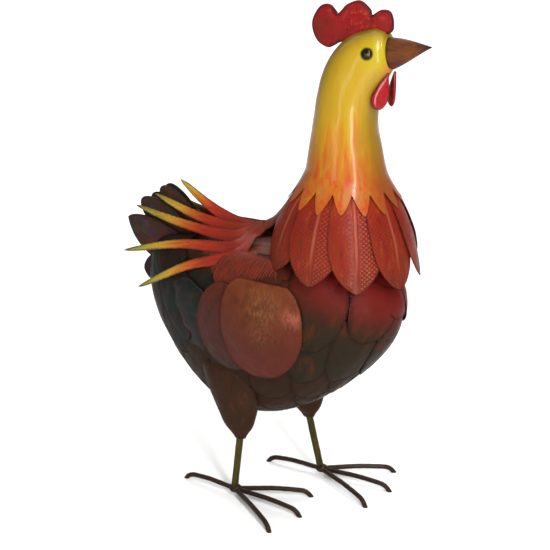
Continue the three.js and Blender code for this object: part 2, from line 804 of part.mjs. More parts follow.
function build() {
  const rooster = new THREE.Group();
  const grownBody = solidOf(bodyGeometry(GAP));
  const outsideBody = (geometry) => geometryOf(largestOf(solidOf(geometry).subtract(grownBody)));
  rooster.add(piece("body", bodyGeometry(), "dark"));
  rooster.add(piece("neck_and_head", outsideBody(makeNeck()), "yellow"));

  const grownNeck = solidOf(grownAlong(makeNeck(), GAP));
  const outsideNeck = (geometry) => geometryOf(largestOf(solidOf(geometry).subtract(grownNeck)));
  rooster.add(piece("beak", outsideNeck(makeBeak()), "beak"));
  rooster.add(piece("comb", outsideNeck(makeComb()), "red"));

  const wattle = outsideNeck(makeWattle());
  rooster.add(piece("right_wattle", wattle, "red"));
  rooster.add(piece("left_wattle", mirrored(wattle), "red"));

  const eye = outsideNeck(makeEye());
  rooster.add(piece("right_eye", eye, "eye"));
  rooster.add(piece("left_eye", mirrored(eye), "eye"));

  for (let k = 0; k < HACKLE.count; k++) {
    rooster.add(piece(`hackle_feather_${k + 1}`, makeHackle(k), "hackle"));
  }
  const wingPlates = WING.map(({ name, ...plate }) => [name, makeWingPlate(plate)]);
  const grownWings = wingPlates.flatMap(([, geometry]) => {
    const grown = grownAlong(geometry, GAP);
    return [solidOf(grown), solidOf(mirrored(grown))];
  });
  for (const [name, geometry] of wingPlates) {
    rooster.add(piece(`right_wing_${name}`, geometry, "wing"));
    rooster.add(piece(`left_wing_${name}`, mirrored(geometry), "wing"));
  }
  const over = [...grownWings];
  for (const [name, geometry] of makeBreastPlates()) {
    const trimmed = over.reduce((plate, above) => plate.subtract(above), solidOf(geometry));
    rooster.add(piece(name, geometryOf(largestOf(trimmed)), "breast"));
    over.push(solidOf(grownAlong(geometry, HALF_GAP)));
  }

  TAIL.pairs.forEach((feather, k) => {
    const geometry = outsideBody(makeTailFeather(feather, k));
    rooster.add(piece(`right_tail_feather_${k + 1}`, geometry, "tail"));
    rooster.add(piece(`left_tail_feather_${k + 1}`, mirrored(geometry), "tail"));
  });

  rooster.add(piece("right_sickle_fan", outsideBody(outsideNeck(makeFan())), "red"));
  const leftFan = mirrored(makeFan(FAN.leftDrop));
  rooster.add(piece("left_sickle_fan", outsideBody(outsideNeck(leftFan)), "red"));

  for (const name of ["right", "left"]) {
    const leg = LEG[name];
    const socket = solidOf(rod(legPath(leg, LEG.socketDepth), LEG.radius + LEG.socket, LEG.sides, LEG.steps));
    const thigh = solidOf(makeThigh(leg)).subtract(grownBody).subtract(socket);
    rooster.add(piece(`${name}_thigh`, geometryOf(largestOf(thigh)), "dark"));
    rooster.add(piece(`${name}_leg`, rod(legPath(leg), LEG.radius, LEG.sides, LEG.steps), "leg"));
    rooster.add(...makeFoot(name, leg));
  }
  rooster.position.copy(FRAME_SHIFT);
  return rooster;
}

export default build();
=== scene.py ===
import math

import bpy
import numpy as np
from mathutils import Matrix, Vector


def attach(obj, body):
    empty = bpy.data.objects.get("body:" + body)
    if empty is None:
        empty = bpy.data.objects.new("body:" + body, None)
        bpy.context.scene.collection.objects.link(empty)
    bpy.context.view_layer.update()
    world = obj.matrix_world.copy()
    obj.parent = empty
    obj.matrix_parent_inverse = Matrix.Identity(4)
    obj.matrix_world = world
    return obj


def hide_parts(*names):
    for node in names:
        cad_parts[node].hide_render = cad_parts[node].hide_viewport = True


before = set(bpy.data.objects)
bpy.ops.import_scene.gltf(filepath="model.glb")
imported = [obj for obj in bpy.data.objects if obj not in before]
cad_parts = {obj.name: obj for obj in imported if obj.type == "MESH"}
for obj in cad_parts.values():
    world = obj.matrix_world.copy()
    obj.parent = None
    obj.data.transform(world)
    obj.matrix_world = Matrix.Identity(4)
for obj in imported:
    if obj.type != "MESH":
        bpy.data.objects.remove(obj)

# The painted sheet-metal rooster. Sizes are in millimetres until addPiece turns them into metres.
# The lights, and the paints that read object coordinates, are set in metres.
mm = 0.001
frameShift = np.array([10.0, 1.0, 0.0])  # brings the middle of the base to the origin
sheetThickness = 1.2
rimReach = 6  # a plate's rim field grows from 0 at the cut edge to 1 this far in
crowdedOnBody = 0.75  # how far the rows of points crowd towards the ends of the body's plates
flanks = ("right", "left")
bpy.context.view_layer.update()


def colour(red, green, blue):
    # a colour as it looks on screen, 0 to 255, turned into the linear values that shaders use
    seen = np.array([red, green, blue]) / 255
    linear = np.where(seen <= 0.04045, seen / 12.92, ((seen + 0.055) / 1.055) ** 2.4)
    return (*[float(c) for c in linear], 1.0)


# Camera and lights

view = {
    "azimuth": 30,  # degrees from straight on to the right side
    "distance": 1300,
    "height": 760,
    "lookAt": (0, 0, 280),
    "focalPixels": 1170,  # the focal length, in pixels of the photograph
    "photoPixels": 550,  # the photograph's width
    "sensor": 36,
}


def makeCamera():
    turn = math.radians(view["azimuth"])
    target = (np.array(view["lookAt"]) + frameShift) * mm
    place = target + np.array([view["distance"] * math.sin(turn), -view["distance"] * math.cos(turn), 0]) * mm
    place[2] = view["height"] * mm
    data = bpy.data.cameras.new("camera")
    data.lens = view["focalPixels"] / view["photoPixels"] * view["sensor"]
    data.sensor_width = view["sensor"]
    camera = bpy.data.objects.new("camera", data)
    camera.location = place
    camera.rotation_euler = Vector(target - place).to_track_quat("-Z", "Y").to_euler()
    bpy.context.collection.objects.link(camera)
    bpy.context.scene.camera = camera


lighting = {
    "world": 0.3,
    "aim": (0.03, 0, 0.36),
    "levelAim": 0.1,  # how far forward a level light looks, at its own height
    # name, turn in degrees, distance, height, size, power and where it looks. The narrow boxes draw the long
    # bright line down the neck, its end on the collar and a weak second line.
    "lights": [
        ("stripLight", 50, 1.25, 0.86, (0.17, 1.5), 18, "level"),
        ("upperStripLight", 52, 1.1, 1.42, (0.12, 0.9), 6, "aim"),
        ("sideStripLight", -2, 1.3, 0.5, (0.26, 0.96), 4, "level"),
        ("keyLight", 40, 1.9, 1.9, (1.2, 1.2), 14, "aim"),
        ("fillLight", -30, 2.0, 1.2, (1.2, 1.6), 4, "aim"),
        ("topLight", 150, 0.5, 2.4, (2.2, 2.2), 19, "aim"),
        ("backdropLight", 211, 4.2, 3.0, (6.0, 6.0), 230, "down"),
    ],
}


def makeLights():
    for name, turn, distance, height, size, power, looks in lighting["lights"]:
        data = bpy.data.lights.new(name, "AREA")
        data.shape = "RECTANGLE"
        data.size, data.size_y = size
        data.energy = power
        turn = math.radians(turn)
        place = Vector((distance * math.sin(turn), -distance * math.cos(turn), height))
        level, down = (lighting["levelAim"], 0, height), (place.x, place.y, 0)
        aim = Vector({"aim": lighting["aim"], "level": level, "down": down}[looks])
        lamp = bpy.data.objects.new(name, data)
        lamp.location = place
        lamp.rotation_euler = (aim - place).to_track_quat("-Z", "Y").to_euler()
        lamp.visible_camera = False
        bpy.context.collection.objects.link(lamp)
    world = bpy.data.worlds.new("studio")
    world.use_nodes = True
    world.node_tree.nodes["Background"].inputs["Color"].default_value = (1.0, 1.0, 1.0, 1.0)
    world.node_tree.nodes["Background"].inputs["Strength"].default_value = lighting["world"]
    bpy.context.scene.world = world
    bpy.context.scene.view_settings.view_transform = "Standard"


# Nodes for the paints

def addNode(paint, kind):
    return paint.node_tree.nodes.new(f"ShaderNode{kind}")


def plug(paint, value, socket):
    if isinstance(value, bpy.types.NodeSocket):
        paint.node_tree.links.new(value, socket)
    else:
        socket.default_value = value


def newPaint(name):
    paint = bpy.data.materials.new(name)
    paint.use_nodes = True
    paint.node_tree.nodes.clear()
    shader = addNode(paint, "BsdfPrincipled")
    plug(paint, shader.outputs["BSDF"], addNode(paint, "OutputMaterial").inputs["Surface"])
    return paint, shader


def attributeOf(paint, name, output="Fac"):
    node = addNode(paint, "Attribute")
    node.attribute_name = name
    return node.outputs[output]


def objectPlace(paint):
    return addNode(paint, "TexCoord").outputs["Object"]


def stretched(paint, place, scale, shift=(0, 0, 0)):
    node = addNode(paint, "Mapping")
    node.inputs["Scale"].default_value = scale
    node.inputs["Location"].default_value = shift
    plug(paint, place, node.inputs["Vector"])
    return node.outputs["Vector"]


def noise(paint, place, scale, detail=3, rough=0.55, twist=0.0):
    node = addNode(paint, "TexNoise")
    node.inputs["Scale"].default_value = scale
    node.inputs["Detail"].default_value = detail
    node.inputs["Roughness"].default_value = rough
    node.inputs["Distortion"].default_value = twist
    plug(paint, place, node.inputs["Vector"])
    return node.outputs["Fac"]


def between(paint, value, low, high, newLow=0.0, newHigh=1.0):
    node = addNode(paint, "MapRange")
    node.interpolation_type = "SMOOTHSTEP"
    for socket, number in zip(("From Min", "From Max", "To Min", "To Max"), (low, high, newLow, newHigh)):
        node.inputs[socket].default_value = number
    plug(paint, value, node.inputs["Value"])
    return node.outputs["Result"]


def sums(paint, operation, first, second=0.0, third=0.0, clamp=False):
    node = addNode(paint, "Math")
    node.operation = operation
    node.use_clamp = clamp
    for socket, value in zip(node.inputs, (first, second, third)):
        plug(paint, value, socket)
    return node.outputs["Value"]


def times(paint, first, second):
    return sums(paint, "MULTIPLY", first, second)


def swayed(paint, value, marks, reach):
    # the value moved up and down by noise, by half the reach at most
    return sums(paint, "MULTIPLY_ADD", sums(paint, "SUBTRACT", marks, 0.5), reach, value)


def blend(paint, share, under, over, mode="MIX"):
    # a Mix node's sockets 6 and 7 are the colours that it mixes, and its output 2 is the colour that it makes
    node = addNode(paint, "Mix")
    node.data_type = "RGBA"
    node.blend_type = mode
    node.clamp_factor = True
    for socket, value in ((0, share), (6, under), (7, over)):
        plug(paint, value, node.inputs[socket])
    return node.outputs[2]


def fading(paint, value, stops):
    node = addNode(paint, "ValToRGB")
    ramp = node.color_ramp
    while len(ramp.elements) < len(stops):
        ramp.elements.new(0.5)
    for element, (place, tint) in zip(ramp.elements, stops):
        element.position = place
        element.color = colour(*tint)
    plug(paint, value, node.inputs["Fac"])
    return node.outputs["Color"]


def nearPoint(paint, place, centre, inner, outer):
    # 1 within the inner distance of a point, falling smoothly to 0 at the outer one
    node = addNode(paint, "VectorMath")
    node.operation = "DISTANCE"
    plug(paint, place, node.inputs[0])
    node.inputs[1].default_value = centre
    return between(paint, node.outputs["Value"], inner, outer, 1.0, 0.0)


def brushedOver(paint, under, marks, stretch, low, high, share, over, shift, spot=None):
    # a layer of brush marks: the tint over shows up to the share where stretched noise rises from low to
    # high, and only near the spot (its place, inner and outer distance) if there is one
    ground = stretched(paint, marks["place"], stretch, (shift, marks["aside"], 0))
    shown = between(paint, noise(paint, ground, 1.0, 4, 0.6, marks["twist"]), low, high, 0.0, share)
    if spot:
        spotPlace = stretched(paint, marks["place"], marks["spotScale"])
        shown = times(paint, shown, nearPoint(paint, spotPlace, *spot))
    return blend(paint, shown, under, colour(*over))


def finishPaint(paint, shader, tint, look, grain, rimShadeAndWear=None):
    # gloss, brush marks and the clear top coat that every paint here shares
    depth = look["depth"]
    plug(paint, blend(paint, 1.0, tint, (depth, depth, depth, 1), "MULTIPLY"), shader.inputs["Base Color"])
    rough = between(paint, noise(paint, grain, look["patchScale"], 4), 0.3, 0.7, *look["rough"])
    # the rims, which carry painted shade and wear, are a little rougher
    if rimShadeAndWear is not None:
        rough = sums(paint, "ADD", rough, times(paint, rimShadeAndWear, 0.15), clamp=True)
    plug(paint, rough, shader.inputs["Roughness"])
    shader.inputs["Metallic"].default_value = look["metal"]
    shader.inputs["Specular IOR Level"].default_value = look["shine"]
    shader.inputs["Coat Weight"].default_value = look["coat"]
    shader.inputs["Coat Roughness"].default_value = look["coatRough"]
    peel = noise(paint, grain, look["peelScale"], 2)
    strokes = noise(paint, stretched(paint, grain, look["strokes"]), 0.8, 3)
    bump = addNode(paint, "Bump")
    bump.inputs["Strength"].default_value = look["bump"]
    bump.inputs["Distance"].default_value = look["bumpDepth"]
    plug(paint, sums(paint, "MULTIPLY_ADD", strokes, 0.7, peel), bump.inputs["Height"])
    plug(paint, bump.outputs["Normal"], shader.inputs["Normal"])


# what a paint has where its own dictionary doesn't say otherwise, first on plates and then on other pieces
plateFinish = {
    "metal": 0.0, "shine": 0.08, "coat": 0.0, "coatRough": 0.2, "bump": 0.14, "bumpDepth": 0.0006,
    "patchScale": 0.09, "peelScale": 0.55, "strokes": (1.0, 0.12, 1.0),
    "streakShift": 0.2, "streakStretch": (0.5, 0.07, 1.0),
}
solidFinish = {
    "metal": 0.0, "shine": 0.08, "coat": 0.05, "coatRough": 0.16, "bump": 0.25, "bumpDepth": 0.0006,
    "patchScale": 60, "peelScale": 260, "rough": (0.34, 0.52), "strokes": (120, 120, 20),
}


def featherPaint(look):
    # A paint that follows its plate by the plate's fields: "lay" is (across, along, own number) in
    # millimetres, "fade" the place along the stops, "rim" 0 at the cut edge, and "relief" 0 in the hollows.
    look = {**plateFinish, **look}
    paint, shader = newPaint(look["name"])
    lay = attributeOf(paint, "lay", "Vector")
    relief = attributeOf(paint, "relief")
    streaks = noise(paint, stretched(paint, lay, look["streakStretch"]), 1.0, 3)
    fade = swayed(paint, attributeOf(paint, "fade"), streaks, look["streakShift"])
    tint = fading(paint, fade, look["stops"])
    marks = {"place": lay, "aside": 3, "twist": 0.3, "spotScale": (1, 1, 0)}
    for layer in look["layers"]:
        tint = brushedOver(paint, tint, marks, *layer)
    # a tint on the raised relief; on the hackle feathers it is a painted highlight
    if "raised" in look:
        low, high, share, raised = look["raised"]
        tint = blend(paint, between(paint, relief, low, high, 0.0, share), tint, colour(*raised))
    # painted shade: the relief's hollows are darkened by the hollow colour
    if "hollow" in look:
        share, hollow = look["hollow"]
        tint = blend(paint, between(paint, relief, 0.0, 0.5, share, 0.0), tint, colour(*hollow))
    # painted shade along each plate's cut edge, where it meets or laps the next part, broken up by noise; the
    # same mask makes the rim rougher, as wear
    rimTint, rimWidth, rimShare = look["rim"]
    brokenShadeAndWear = between(paint, noise(paint, lay, 0.35, 3), 0.3, 0.62, 0.25, 1.0)
    edge = times(paint, between(paint, attributeOf(paint, "rim"), 0.0, rimWidth, 1.0, 0.0), brokenShadeAndWear)
    tint = blend(paint, times(paint, edge, rimShare), tint, colour(*rimTint))
    finishPaint(paint, shader, tint, look, lay, edge)
    return paint


def objectPaint(look):
    # a paint on object coordinates: a base that fades by noise, layers of brush marks and a darker rim
    look = {**solidFinish, **look}
    paint, shader = newPaint(look["name"])
    place = objectPlace(paint)
    tint = fading(paint, noise(paint, stretched(paint, place, look["stretch"]), 1.0, 4), look["stops"])
    marks = {"place": place, "aside": 2, "twist": 0.4, "spotScale": (1, 1, 1)}
    for layer in look.get("layers", ()):
        tint = brushedOver(paint, tint, marks, *layer)
    if "rim" in look:
        rimTint, rimWidth, rimShare = look["rim"]
        edge = between(paint, attributeOf(paint, "rim"), 0.0, rimWidth, rimShare, 0.0)
        tint = blend(paint, edge, tint, colour(*rimTint))
    finishPaint(paint, shader, tint, look, place)
    return paint


# Mesh making

plateCount = {"made": 0}


def addPiece(name, points, faces, paint, nodes=(), fields=None, rims=None):
    # One closed mesh from points in millimetres and arrays of triangles or quads, turned to face outwards.
    # Edges that run along one rim mark stay sharp.
    points = np.asarray(points, float).reshape(-1, 3) + frameShift
    volume = 0.0
    for group in faces:
        a, *rest = (points[group[:, k]] for k in range(group.shape[1]))
        for b, c in zip(rest, rest[1:]):
            volume += np.einsum("ij,ij->i", a, np.cross(b, c)).sum()
    if volume < 0:
        faces = [group[:, ::-1] for group in faces]
    mesh = bpy.data.meshes.new(name)
    corners = np.concatenate([group.ravel() for group in faces]).astype(np.int32)
    sizes = np.concatenate([np.full(len(group), group.shape[1]) for group in faces])
    starts = np.concatenate([[0], np.cumsum(sizes)[:-1]]).astype(np.int32)
    mesh.vertices.add(len(points))
    mesh.vertices.foreach_set("co", (points * mm).ravel().astype(np.float32))
    mesh.loops.add(len(corners))
    mesh.loops.foreach_set("vertex_index", corners)
    mesh.polygons.add(len(starts))
    mesh.polygons.foreach_set("loop_start", starts)
    mesh.polygons.foreach_set("use_smooth", np.ones(len(starts), bool))
    mesh.update(calc_edges=True)
    for field, values in (fields or {}).items():
        kind, member = ("FLOAT_VECTOR", "vector") if values.ndim == 2 else ("FLOAT", "value")
        made = mesh.attributes.new(field, kind, "POINT")
        made.data.foreach_set(member, values.ravel().astype(np.float32))
    if rims is not None:
        ends = np.empty(len(mesh.edges) * 2, np.int32)
        mesh.edges.foreach_get("vertices", ends)
        ends = ends.reshape(-1, 2)
        sharp = (rims[ends[:, 0]] == rims[ends[:, 1]]) & (rims[ends[:, 0]] > 0)
        made = mesh.attributes.new("sharp_edge", "BOOLEAN", "EDGE")
        made.data.foreach_set("value", sharp)
    mesh.materials.append(paint)
    piece = bpy.data.objects.new(name, mesh)
    bpy.context.collection.objects.link(piece)
    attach(piece, "root")
    if nodes:
        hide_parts(*nodes)


def gridQuads(rows, columns, around=False):
    # the quads of a grid of points, closed on itself sideways when it goes around
    index = np.arange(rows * columns).reshape(rows, columns)
    if around:
        index = np.hstack([index, index[:, :1]])
    return np.stack([index[:-1, :-1], index[:-1, 1:], index[1:, 1:], index[1:, :-1]], -1).reshape(-1, 4)


def addSheet(name, sheet, paint, nodes=(), mirrored=False):
    # A thin plate: its outer skin, its inner skin and a rim of quads between them.
    outer, inner = sheet["outer"].copy(), sheet["inner"].copy()
    if mirrored:
        outer[..., 1] *= -1
        inner[..., 1] *= -1
    rows, columns = outer.shape[:2]
    skin = rows * columns
    index = np.arange(skin).reshape(rows, columns)
    rim = np.concatenate([index[0, :-1], index[:-1, -1], index[-1, :0:-1], index[:0:-1, 0]])
    after = np.roll(rim, -1)
    top = gridQuads(rows, columns)
    sides = np.stack([after, rim, rim + skin, after + skin], -1)
    marks = np.zeros(2 * skin, int)
    marks[rim] = 1
    marks[rim + skin] = 2
    plateCount["made"] += 1
    # each plate's own number sets it apart in the paints' noise, this far from the next
    ownNumber = np.full(outer.shape[:2], 37.0 * plateCount["made"])
    lay = np.dstack([sheet["across"], sheet["along"], ownNumber])
    fields = {"lay": np.tile(lay.reshape(-1, 3), (2, 1))}
    for field in ("fade", "rim", "relief"):
        fields[field] = np.tile(sheet[field].ravel(), 2)
    points = np.concatenate([outer.reshape(-1, 3), inner.reshape(-1, 3)])
    addPiece(name, points, [top, top[:, ::-1] + skin, sides], paint, nodes, fields, marks)


def addPair(name, sheet, paint, node=None):
    # a plate on the right side and its mirror image on the left
    for side in flanks:
        nodes = [f"{side}_{node}"] if node else ()
        addSheet(f"{side}{name}", sheet, paint, nodes, side == "left")


def addLoft(name, rings, paint, nodes=(), start=None, end=None, fields=None, mirrored=False, rims=None):
    # A closed skin through rings of equal count, with a fan of triangles to one point at each end.
    rings = np.array(rings, float)
    count, sides = rings.shape[:2]
    start = rings[0].mean(0) if start is None else np.array(start, float)
    end = rings[-1].mean(0) if end is None else np.array(end, float)
    points = np.concatenate([rings.reshape(-1, 3), [start, end]])
    if mirrored:
        points[:, 1] *= -1
    ring = np.arange(sides)
    after = np.roll(ring, -1)
    first = np.full(sides, count * sides)
    last = (count - 1) * sides
    fans = [np.stack([first, after, ring], -1), np.stack([first + 1, last + ring, last + after], -1)]
    addPiece(name, points, [gridQuads(count, sides, True), *fans], paint, nodes, fields, rims)


def smoothNoise(points, size, seed, waves=9):
    # gentle unevenness, mostly between -1 and 1: a sum of sine waves in seeded random directions, each about
    # one size long
    chance = np.random.default_rng(seed)
    directions = chance.normal(size=(waves, 3))
    directions /= np.linalg.norm(directions, axis=1, keepdims=True)
    pace = 2 * math.pi / (size * chance.uniform(0.7, 1.6, waves))
    phase = chance.uniform(0, 2 * math.pi, waves)
    return np.sin((points @ directions.T) * pace + phase).sum(-1) / waves * 1.7


def unit(vectors):
    return vectors / np.maximum(np.linalg.norm(vectors, axis=-1, keepdims=True), 1e-9)


def outwards(rings):
    # the directions away from each ring's own middle
    return unit(rings - rings.mean(1, keepdims=True))


def travelled(points):
    # the distance run along a line of points, from 0 at its first
    return np.concatenate([[0], np.cumsum(np.linalg.norm(np.diff(points, axis=0), axis=1))])


def turnsAround(count):
    return np.linspace(0, 2 * math.pi, count, endpoint=False)


def eased(count, share):
    # even steps from 0 to 1, crowded towards both ends by the given share
    t = np.linspace(0, 1, count)
    return t + share * ((1 - np.cos(math.pi * t)) / 2 - t)


def splineValues(values, t):
    # uniform Catmull-Rom through evenly spaced values, with its ends held
    values = np.asarray(values, float)
    last = len(values) - 1
    place = np.asarray(t, float) * last
    at = np.minimum(place.astype(int), last - 1)
    w = place - at
    p0, p1 = values[np.maximum(at - 1, 0)], values[at]
    p2, p3 = values[at + 1], values[np.minimum(at + 2, last)]
    v0, v1 = (p2 - p0) / 2, (p3 - p1) / 2
    return (2 * p1 - 2 * p2 + v0 + v1) * w**3 + (-3 * p1 + 3 * p2 - 2 * v0 - v1) * w**2 + v0 * w + p1


def curveThrough(points, t, tension=None):
    # Points on a smooth curve through a list: uniform with the given tension, or centripetal without one.
    points = np.asarray(points, float)
    full = np.vstack([2 * points[0] - points[1], points, 2 * points[-1] - points[-2]])
    place = np.asarray(t, float) * (len(points) - 1)
    at = np.minimum(place.astype(int), len(points) - 2)
    w = (place - at)[:, None]
    p0, p1, p2, p3 = (full[at + k] for k in range(4))
    if tension is not None:
        t1, t2 = tension * (p2 - p0), tension * (p3 - p1)
    else:
        steps = (p1 - p0, p2 - p1, p3 - p2)
        d0, d1, d2 = (np.sqrt(np.linalg.norm(step, axis=1))[:, None] for step in steps)
        t1 = ((p1 - p0) / d0 - (p2 - p0) / (d0 + d1) + (p2 - p1) / d1) * d1
        t2 = ((p2 - p1) / d1 - (p3 - p1) / (d1 + d2) + (p3 - p2) / d2) * d1
    return p1 + t1 * w + (-3 * p1 + 3 * p2 - 2 * t1 - t2) * w**2 + (2 * p1 - 2 * p2 + t1 + t2) * w**3


# The body is an egg, and every breast, belly, rump and wing plate follows it

body = {
    "middle": (10, 0, 268),
    "front": 149,
    "rear": 176,
    "halfWidth": 80,
    "above": 62,
    "aboveSwell": 0.42,  # share by which the back rises towards the breast
    "below": 154,
    "belowSwell": -0.38,  # share by which the belly deepens towards the rear
    "inset": 0.6,
    "grid": (48, 72),
}


def eggReach(share, ahead, behind):
    # the egg's reach for a share from -1 at one end to 1 at the other
    return share * (ahead + behind) / 2 + share * share * (ahead - behind) / 2


def eggShare(reach, ahead, behind):
    # the share that gives a reach
    slope, curve = (ahead + behind) / 2, (ahead - behind) / 2
    return (math.sqrt(slope * slope + 4 * curve * reach) - slope) / (2 * curve)


def bodyHeights(nx):
    return body["above"] * (1 + body["aboveSwell"] * nx), body["below"] * (1 + body["belowSwell"] * nx)


def bodyPoint(n):
    # the egg's point for a unit direction n: each coordinate is the reach for n's own share along it
    above, below = bodyHeights(n[..., 0])
    x = body["middle"][0] + eggReach(n[..., 0], body["front"], body["rear"])
    z = body["middle"][2] + eggReach(n[..., 2], above, below)
    return np.stack([x, body["halfWidth"] * n[..., 1], z], -1)


def bodyRates(n):
    # how fast length and height grow with n, and how much the height rises as n leans forwards
    above, below = bodyHeights(n[..., 0])
    length = (body["front"] + body["rear"]) / 2 + (body["front"] - body["rear"]) * n[..., 0]
    height = (above + below) / 2 + (above - below) * n[..., 2]
    rise = eggReach(n[..., 2], body["above"] * body["aboveSwell"], body["below"] * body["belowSwell"])
    return length, height, rise


def bodyNormal(n):
    length, height, rise = bodyRates(n)
    z = n[..., 2] / height
    return unit(np.stack([(n[..., 0] - rise * z) / length, n[..., 1] / body["halfWidth"], z], -1))


def directionStep(n, step):
    # the change of the unit direction that moves the egg's point by a small step
    length, height, rise = bodyRates(n)
    x = step[0] / length
    return np.array([x, step[1] / body["halfWidth"], (step[2] - rise * x) / height])


def flankDirection(x, z):
    # the direction of the place on the egg's right side that has this x and z
    nx = eggShare(x - body["middle"][0], body["front"], body["rear"])
    nz = eggShare(z - body["middle"][2], *bodyHeights(nx))
    return np.array([nx, -math.sqrt(1 - nx * nx - nz * nz), nz])


def directionAt(latitude, turn):
    # the direction at a latitude in degrees and a turn from the breast's middle
    up = math.radians(latitude)
    return np.stack([math.cos(up) * np.cos(turn), math.cos(up) * np.sin(turn), math.sin(up) + 0 * turn], -1)


def makeBody(paint):
    # the egg's points, a little inside it, for polar angles from the tail's end and turns about its length
    rows, columns = body["grid"]
    polar = np.linspace(0.02, 0.98, rows)[:, None] * math.pi
    turn = turnsAround(columns)
    y, z = np.sin(polar) * np.cos(turn), np.sin(polar) * np.sin(turn)
    n = np.stack([-np.cos(polar) + 0 * turn, y, z], -1)
    rings = bodyPoint(n) - bodyNormal(n) * body["inset"]
    rear, breast = bodyPoint(np.array([[-1.0, 0, 0], [1.0, 0, 0]]))
    addLoft("bodyShell", rings, paint, ["body"], rear, breast)


def leafWidth(u, rootShare, widest, point=0.0):
    # Half the width at u, as a share of the widest: an ellipse past the widest place, drawn out by the point,
    # and a softer shoulder before it.
    past = (u - widest) / (1 - widest)
    before = np.clip((widest - u) / widest, 0, 1)
    tipSide = np.maximum(1 - past**2, 0.0004) ** (0.5 + 0.3 * point)
    rootSide = rootShare + (1 - rootShare) * np.sqrt(np.maximum(1 - before**2.2, 0))
    return np.where(u > widest, tipSide, rootSide)


def leafField(grid, crowded, length, width, rootShare, widest, point=0.0):
    # A leaf's own places: u runs from root to tip and v from edge to edge, across and along are these in
    # millimetres, and rim is the distance from the cut edge as a share of the rim's reach.
    u, c = np.meshgrid(eased(grid[0], crowded), np.linspace(0, 1, grid[1]), indexing="ij")
    spread = leafWidth(u, rootShare, widest, point)
    v = (2 * c - 1) * spread
    edge = np.minimum((spread - np.abs(v)) * width / 2, np.minimum(u, 1 - u) * length)
    return u, v, v * width / 2, u * length, np.clip(edge / rimReach, 0, 1)


def plateOf(base, out, height, raised, across, along, rim, relief, fade):
    # a plate over a base surface: its inner skin lies at the height, and its outer one is a sheet's thickness
    # and the relief above
    return {
        "outer": base + out * (height + sheetThickness + raised)[..., None],
        "inner": base + out * height[..., None],
        "across": across, "along": along, "rim": rim, "relief": relief, "fade": fade,
    }


def leafOnBody(leaf, grid, relief):
    # A leaf plate on the egg, stepped off along and across from its place by great circles of directions. Its
    # height above the egg is root + lift along + dome (1 - v^2) sin(pi u)^0.7 - tilt v, plus its own relief.
    place = leaf["place"]
    normal = bodyNormal(place)
    pointing = np.array(leaf["pointing"], float)
    down = unit(pointing - normal * (pointing @ normal))
    aside = np.cross(normal, down)
    stepDown, stepAside = directionStep(place, down), directionStep(place, aside)
    outline = (leaf["length"], leaf["width"], leaf["rootShare"], leaf["widest"])
    u, v, across, along, rim = leafField(grid, crowdedOnBody, *outline)
    step = (leaf.get("start", 0) + along)[..., None] * stepDown + across[..., None] * stepAside
    angle = np.maximum(np.linalg.norm(step, axis=-1, keepdims=True), 1e-9)
    n = unit(place * np.cos(angle) + step * np.sin(angle) / angle)
    crown = leaf["dome"] * (1 - v * v) * np.sin(math.pi * u) ** 0.7
    height = leaf["root"] + leaf["lift"] * along + crown - leaf["tilt"] * v
    raised, shade = relief(u, across, along, rim)
    base = bodyPoint(n)
    fade = leaf["fadeAt"](base) if "fadeAt" in leaf else u
    return plateOf(base, bodyNormal(n), height, raised, across, along, rim, shade, fade)


# Reliefs give the height that is beaten or pressed into a plate, and a shade that is 0 in its hollows

def plateNoise(across, along, seed, size, wave):
    return smoothNoise(np.dstack([across, along, np.full(across.shape, 50.0 * seed)]), size, wave)


def rolledLip(rim, height):
    # a bell curve at the cut edge, 1.7 mm wide
    return height * np.exp(-((rim * rimReach / 1.7) ** 2))


def beatenRelief(seed, depth, lip=0.35):
    # hand-beaten sheet: shallow dents and a rolled lip at the edge
    def relief(u, across, along, rim):
        dents = depth * (plateNoise(across, along, seed, 17, 3) + 0.4 * plateNoise(across, along, seed, 8, 4))
        rolled = rolledLip(rim, lip)
        shade = np.clip(0.5 + dents / (2.6 * depth) + 0.4 * rolled, 0, 1)
        return dents * np.clip(rim * 2, 0, 1) + rolled, shade
    return relief


def groovedRelief(seed, depth, lip=0.4):
    # barbs pressed into the sheet: shallow cosine grooves 3.4 mm apart along it, over a beaten ground
    def relief(u, across, along, rim):
        lean = across + 0.08 * along
        grooves = np.cos(2 * math.pi * lean / 3.4) * np.clip(rim * 1.6 - 0.25, 0, 1)
        dents = 0.3 * plateNoise(across, along, seed, 19, 5)
        shade = np.clip(0.5 + 0.4 * grooves + 0.5 * dents, 0, 1)
        return depth * grooves + dents + rolledLip(rim, lip), shade
    return relief


def swirledRelief(ground, swirls):
    # faint rings pressed in around some places, as a cosine 5.2 mm long that dies away, over another relief
    def relief(u, across, along, rim):
        height, shade = ground(u, across, along, rim)
        for (x, y), reach, depth in swirls:
            away = np.hypot(across - x, along - y)
            rings = depth * np.cos(2 * math.pi * away / 5.2) * np.clip(1.2 - away / reach, 0, 1)
            height = height + rings
            shade = np.clip(shade + 0.9 * rings, 0, 1)
        return height, shade
    return relief


knurl = {
    "across": 5.6,  # a diamond's width and length
    "along": 4.7,
    "ribSide": 3.2,  # how far from the middle line the diamonds start, and from the edge
    "edgeSide": 1.6,
    "slope": 1.2,
    "rib": 2.4,
    "ribHeight": 0.45,
    "dents": 0.35,
}


